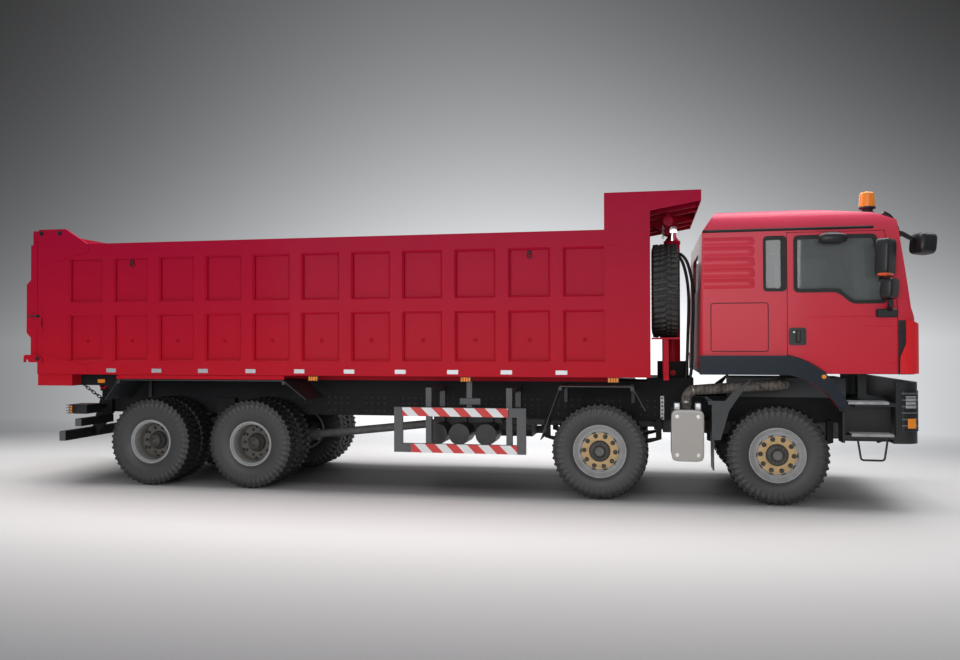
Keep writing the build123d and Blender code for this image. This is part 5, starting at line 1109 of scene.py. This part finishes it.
for x0, x1, z in ((0.730, 1.150, 1.166), (0.763, 1.198, 0.814)):
    treads.box((x0, 1.030, z), (x1, 1.224, z + 0.014), 0.004)
    treads.box((x0, 1.218, z - 0.016), (x1, 1.226, z + 0.014), 0.002)
    for y in 1.045 + 0.030 * np.arange(6):
        treads.box((x0 + 0.01, y, z + 0.013), (x1 - 0.01, y + 0.010, z + 0.019))
treads.pair("step_treads", "zinc_steel", "chassis")
Batch().rod((0.476, 1.2490, 1.453), (0.476, 1.260, 1.453), 0.024, 24).pair("arch_marker", "amber_lens", "cab")
Batch().rod((0.476, 1.2480, 1.453), (0.476, 1.254, 1.453), 0.032, 24).pair("arch_marker_seat", "trim_black",
                                                                           "cab")

# %% [markdown]
# ## Mirrors, beacon and visor
# A housing is a soft box: the same formula as an ellipsoid, with its sines raised to a small power. These
# pieces take the place of the plain CAD ones, and each rides on the door or on the cab.

# %% Mirrors
MIRROR_Y, MIRROR_TURN = 1.372, math.radians(35)
on_door = {"body": "door_{}", "stands_for": "mirrors_{}"}
shells = pillow(Batch(), (1.085, MIRROR_Y, 2.742), (0.076, 0.124, 0.204), 0.30, MIRROR_TURN, 0.04)
pillow(shells, (1.122, MIRROR_Y, 2.412), (0.068, 0.116, 0.110), 0.34, MIRROR_TURN, 0.06)
shells.pair("mirror_shells", "trim_black", smooth=True, **on_door)
stem = [(1.125, MIRROR_Y, 2.300), (1.140, 1.340, 2.235), (1.150, 1.262, 2.190)]
bars = Batch().carried(smooth_line(stem, 6), 0.030, 14)
bars.box((1.018, CAB_Y + 0.0005, 2.102), (1.235, 1.272, 2.196), 0.014)
bars.rod((1.10, MIRROR_Y, 2.50), (1.10, MIRROR_Y, 2.56), 0.022, 12)
bars.pair("mirror_arms", "trim_black", **on_door)
back = np.array([-math.cos(MIRROR_TURN), -math.sin(MIRROR_TURN), 0])
sideways = np.array([-math.sin(MIRROR_TURN), math.cos(MIRROR_TURN), 0])
glasses = Batch()
for centre, wide, high in (((1.092, MIRROR_Y, 2.742), 0.096, 0.175), ((1.126, MIRROR_Y, 2.412), 0.090,
                                                                      0.084)):
    flat = panel(-wide, -high, wide, high, 0.03)
    face = centre + back * 0.0645 + flat[:, :1] * sideways + flat[:, 1:] * np.array([0, 0, 1.0])
    glasses.tube(np.stack([face, face + back * 0.006]))
glasses.pair("mirror_glasses", "chrome", **on_door)
pillow(Batch(), (1.080, 1.392, 2.556), (0.064, 0.108, 0.020), 0.5, MIRROR_TURN).pair(
    "mirror_repeater", "repeater_orange", smooth=True, **on_door)

kerb = pillow(Batch(), (0.562, -1.320, 2.968), (0.150, 0.085, 0.056), 0.6)
kerb.box((0.480, -1.330, 3.000), (0.625, -1.2155, 3.036), 0.010)
kerb.make("kerb_mirror", "trim_black", "door_right", smooth=True)
front = pillow(Batch(), (1.560, -1.030, 2.915), (0.105, 0.135, 0.118), 0.45, 0.25, 0.10)
arm = [(1.205, -1.100, 3.050), (1.290, -1.120, 3.040), (1.400, -1.090, 2.985), (1.480, -1.050, 2.960)]
front.carried(smooth_line(arm, 6), 0.026, 12)
front.box((1.130, -1.150, 3.000), (1.240, -1.060, 3.075), 0.016)
front.make("front_mirror", "trim_black", "cab", smooth=True, stands_for="cab_fittings")


# %% Beacon and visor
def lathe_z(name, profile, finish, around=48, ribs=0.0):
    """(radius, height) turned about the beacon's upright axis; the radius swells and sinks with the ribs."""
    r, up = np.asarray(profile, float).T[..., None]
    a = np.linspace(0, 2 * np.pi, around, endpoint=False)
    r = r * (1 + ribs * np.cos(a * 16))
    rings = np.stack([r * np.cos(a), r * np.sin(a), up + 0 * a], -1) + [1.042, -0.800, 0]
    lathe = Batch().grid(rings, close_columns=True)
    lathe.make(name, finish, "cab", smooth=True, stands_for="cab_fittings")


dome = [(0.086, 3.372), (0.088, 3.390), (0.084, 3.450), (0.080, 3.505), (0.076, 3.528), (0.060, 3.541),
        (0.030, 3.545), (0.001, 3.545)]
lathe_z("beacon_dome", smooth_line(dome, 3), "amber_lens", around=96, ribs=0.010)
lathe_z("beacon_base", [(0.001, 3.240), (0.075, 3.240), (0.075, 3.312), (0.060, 3.322), (0.062, 3.345),
                        (0.090, 3.352), (0.092, 3.374), (0.001, 3.374)], "trim_black")
VISOR_HALF, VISOR_BOW, VISOR_COLUMNS = 0.960, 0.030, 41
curve = smooth_line([(1.186, 3.300), (1.246, 3.262), (1.296, 3.196), (1.336, 3.105), (1.362, 3.014)], 6)
around_it = np.vstack([curve, (curve + [-0.010, -0.007])[::-1]])
y = np.linspace(-VISOR_HALF, VISOR_HALF, VISOR_COLUMNS)[:, None]
bow = VISOR_BOW * (1 - (y / VISOR_HALF) ** 2)
sheet = np.stack([around_it[:, 0] + bow, y + 0 * around_it[:, 0], around_it[:, 1] + 0 * y], -1)
visor = Batch().grid(sheet, close_columns=True)
visor.make("visor", "visor_smoke", "cab", smooth=True, stands_for="cab_fittings")
holders = Batch()
for y0 in (-0.72, -0.02, 0.68):
    holders.box((1.150, y0, 3.165), (1.315, y0 + 0.04, 3.200), 0.006)
bracket = [(1.150, 3.250), (1.190, 3.296), (1.290, 3.200), (1.340, 3.080), (1.300, 3.070), (1.230, 3.190)]
for y0 in (-0.955, 0.940):
    holders.plate(bracket, y0, y0 + 0.015)
holders.make("visor_holders", "trim_black", "cab", stands_for="cab_fittings")
print("mirrors, beacon and visor made")

# %% [markdown]
# ## The cab's face
# The front isn't in the photograph, so it gets what such a cab has and nothing more: black mesh in the
# grille's slots, two wipers and a blank plate.

# %% Front
mesh_rows, wipers = Batch(), Batch()
for z in 1.620 + 0.074 * np.arange(5):
    mesh_rows.box((1.4285, -0.735, z - 0.020), (1.4320, 0.735, z + 0.020))
mesh_rows.make("grille_mesh", "seal_rubber_and_hole_shade", "cab")
for y in (-0.55, 0.35):
    pivot, tip = np.array([1.410, y, 2.190]), np.array([1.330, y + 0.42, 2.720])
    run = (tip - pivot) / np.linalg.norm(tip - pivot)
    blade = tip - [0.010, 0, 0]
    wipers.rod(pivot, tip, 0.010, 10, 0.006)
    wipers.rod(pivot, (1.385, y, 2.190), 0.016, 12)
    wipers.rod(blade - run * 0.30, blade + run * 0.18, 0.008, 8)
wipers.make("wipers", "trim_black", "cab")
Batch().box((1.4742, -0.220, 0.880), (1.4770, 0.220, 1.000), 0.001).make("blank_plate", "plate_white", "cab")

# %% [markdown]
# ## Pipes behind the cab
# Two hydraulic pipes climb from the frame beside the spare wheel and turn over towards the hoist. They are
# bent steel, so they stay where they are when cab or bed tilts.

# %% Pipes behind the cab
pipes = Batch()
for shift in (0.0, 0.055):
    path = [(-1.060, -0.36, 1.180), (-0.965 + shift, -0.36, 1.40), (-0.935 + shift, -0.36, 1.90),
            (-0.925 + shift, -0.36, 2.45), (-0.985 + shift, -0.36, 2.80), (-1.080 + shift, -0.34, 2.93),
            (-1.140 + shift, -0.30, 2.86)]
    pipes.carried(smooth_line(path, 8), 0.019, 12)
pipes.make("hoist_pipes", "hose_rubber", "chassis", smooth=True)
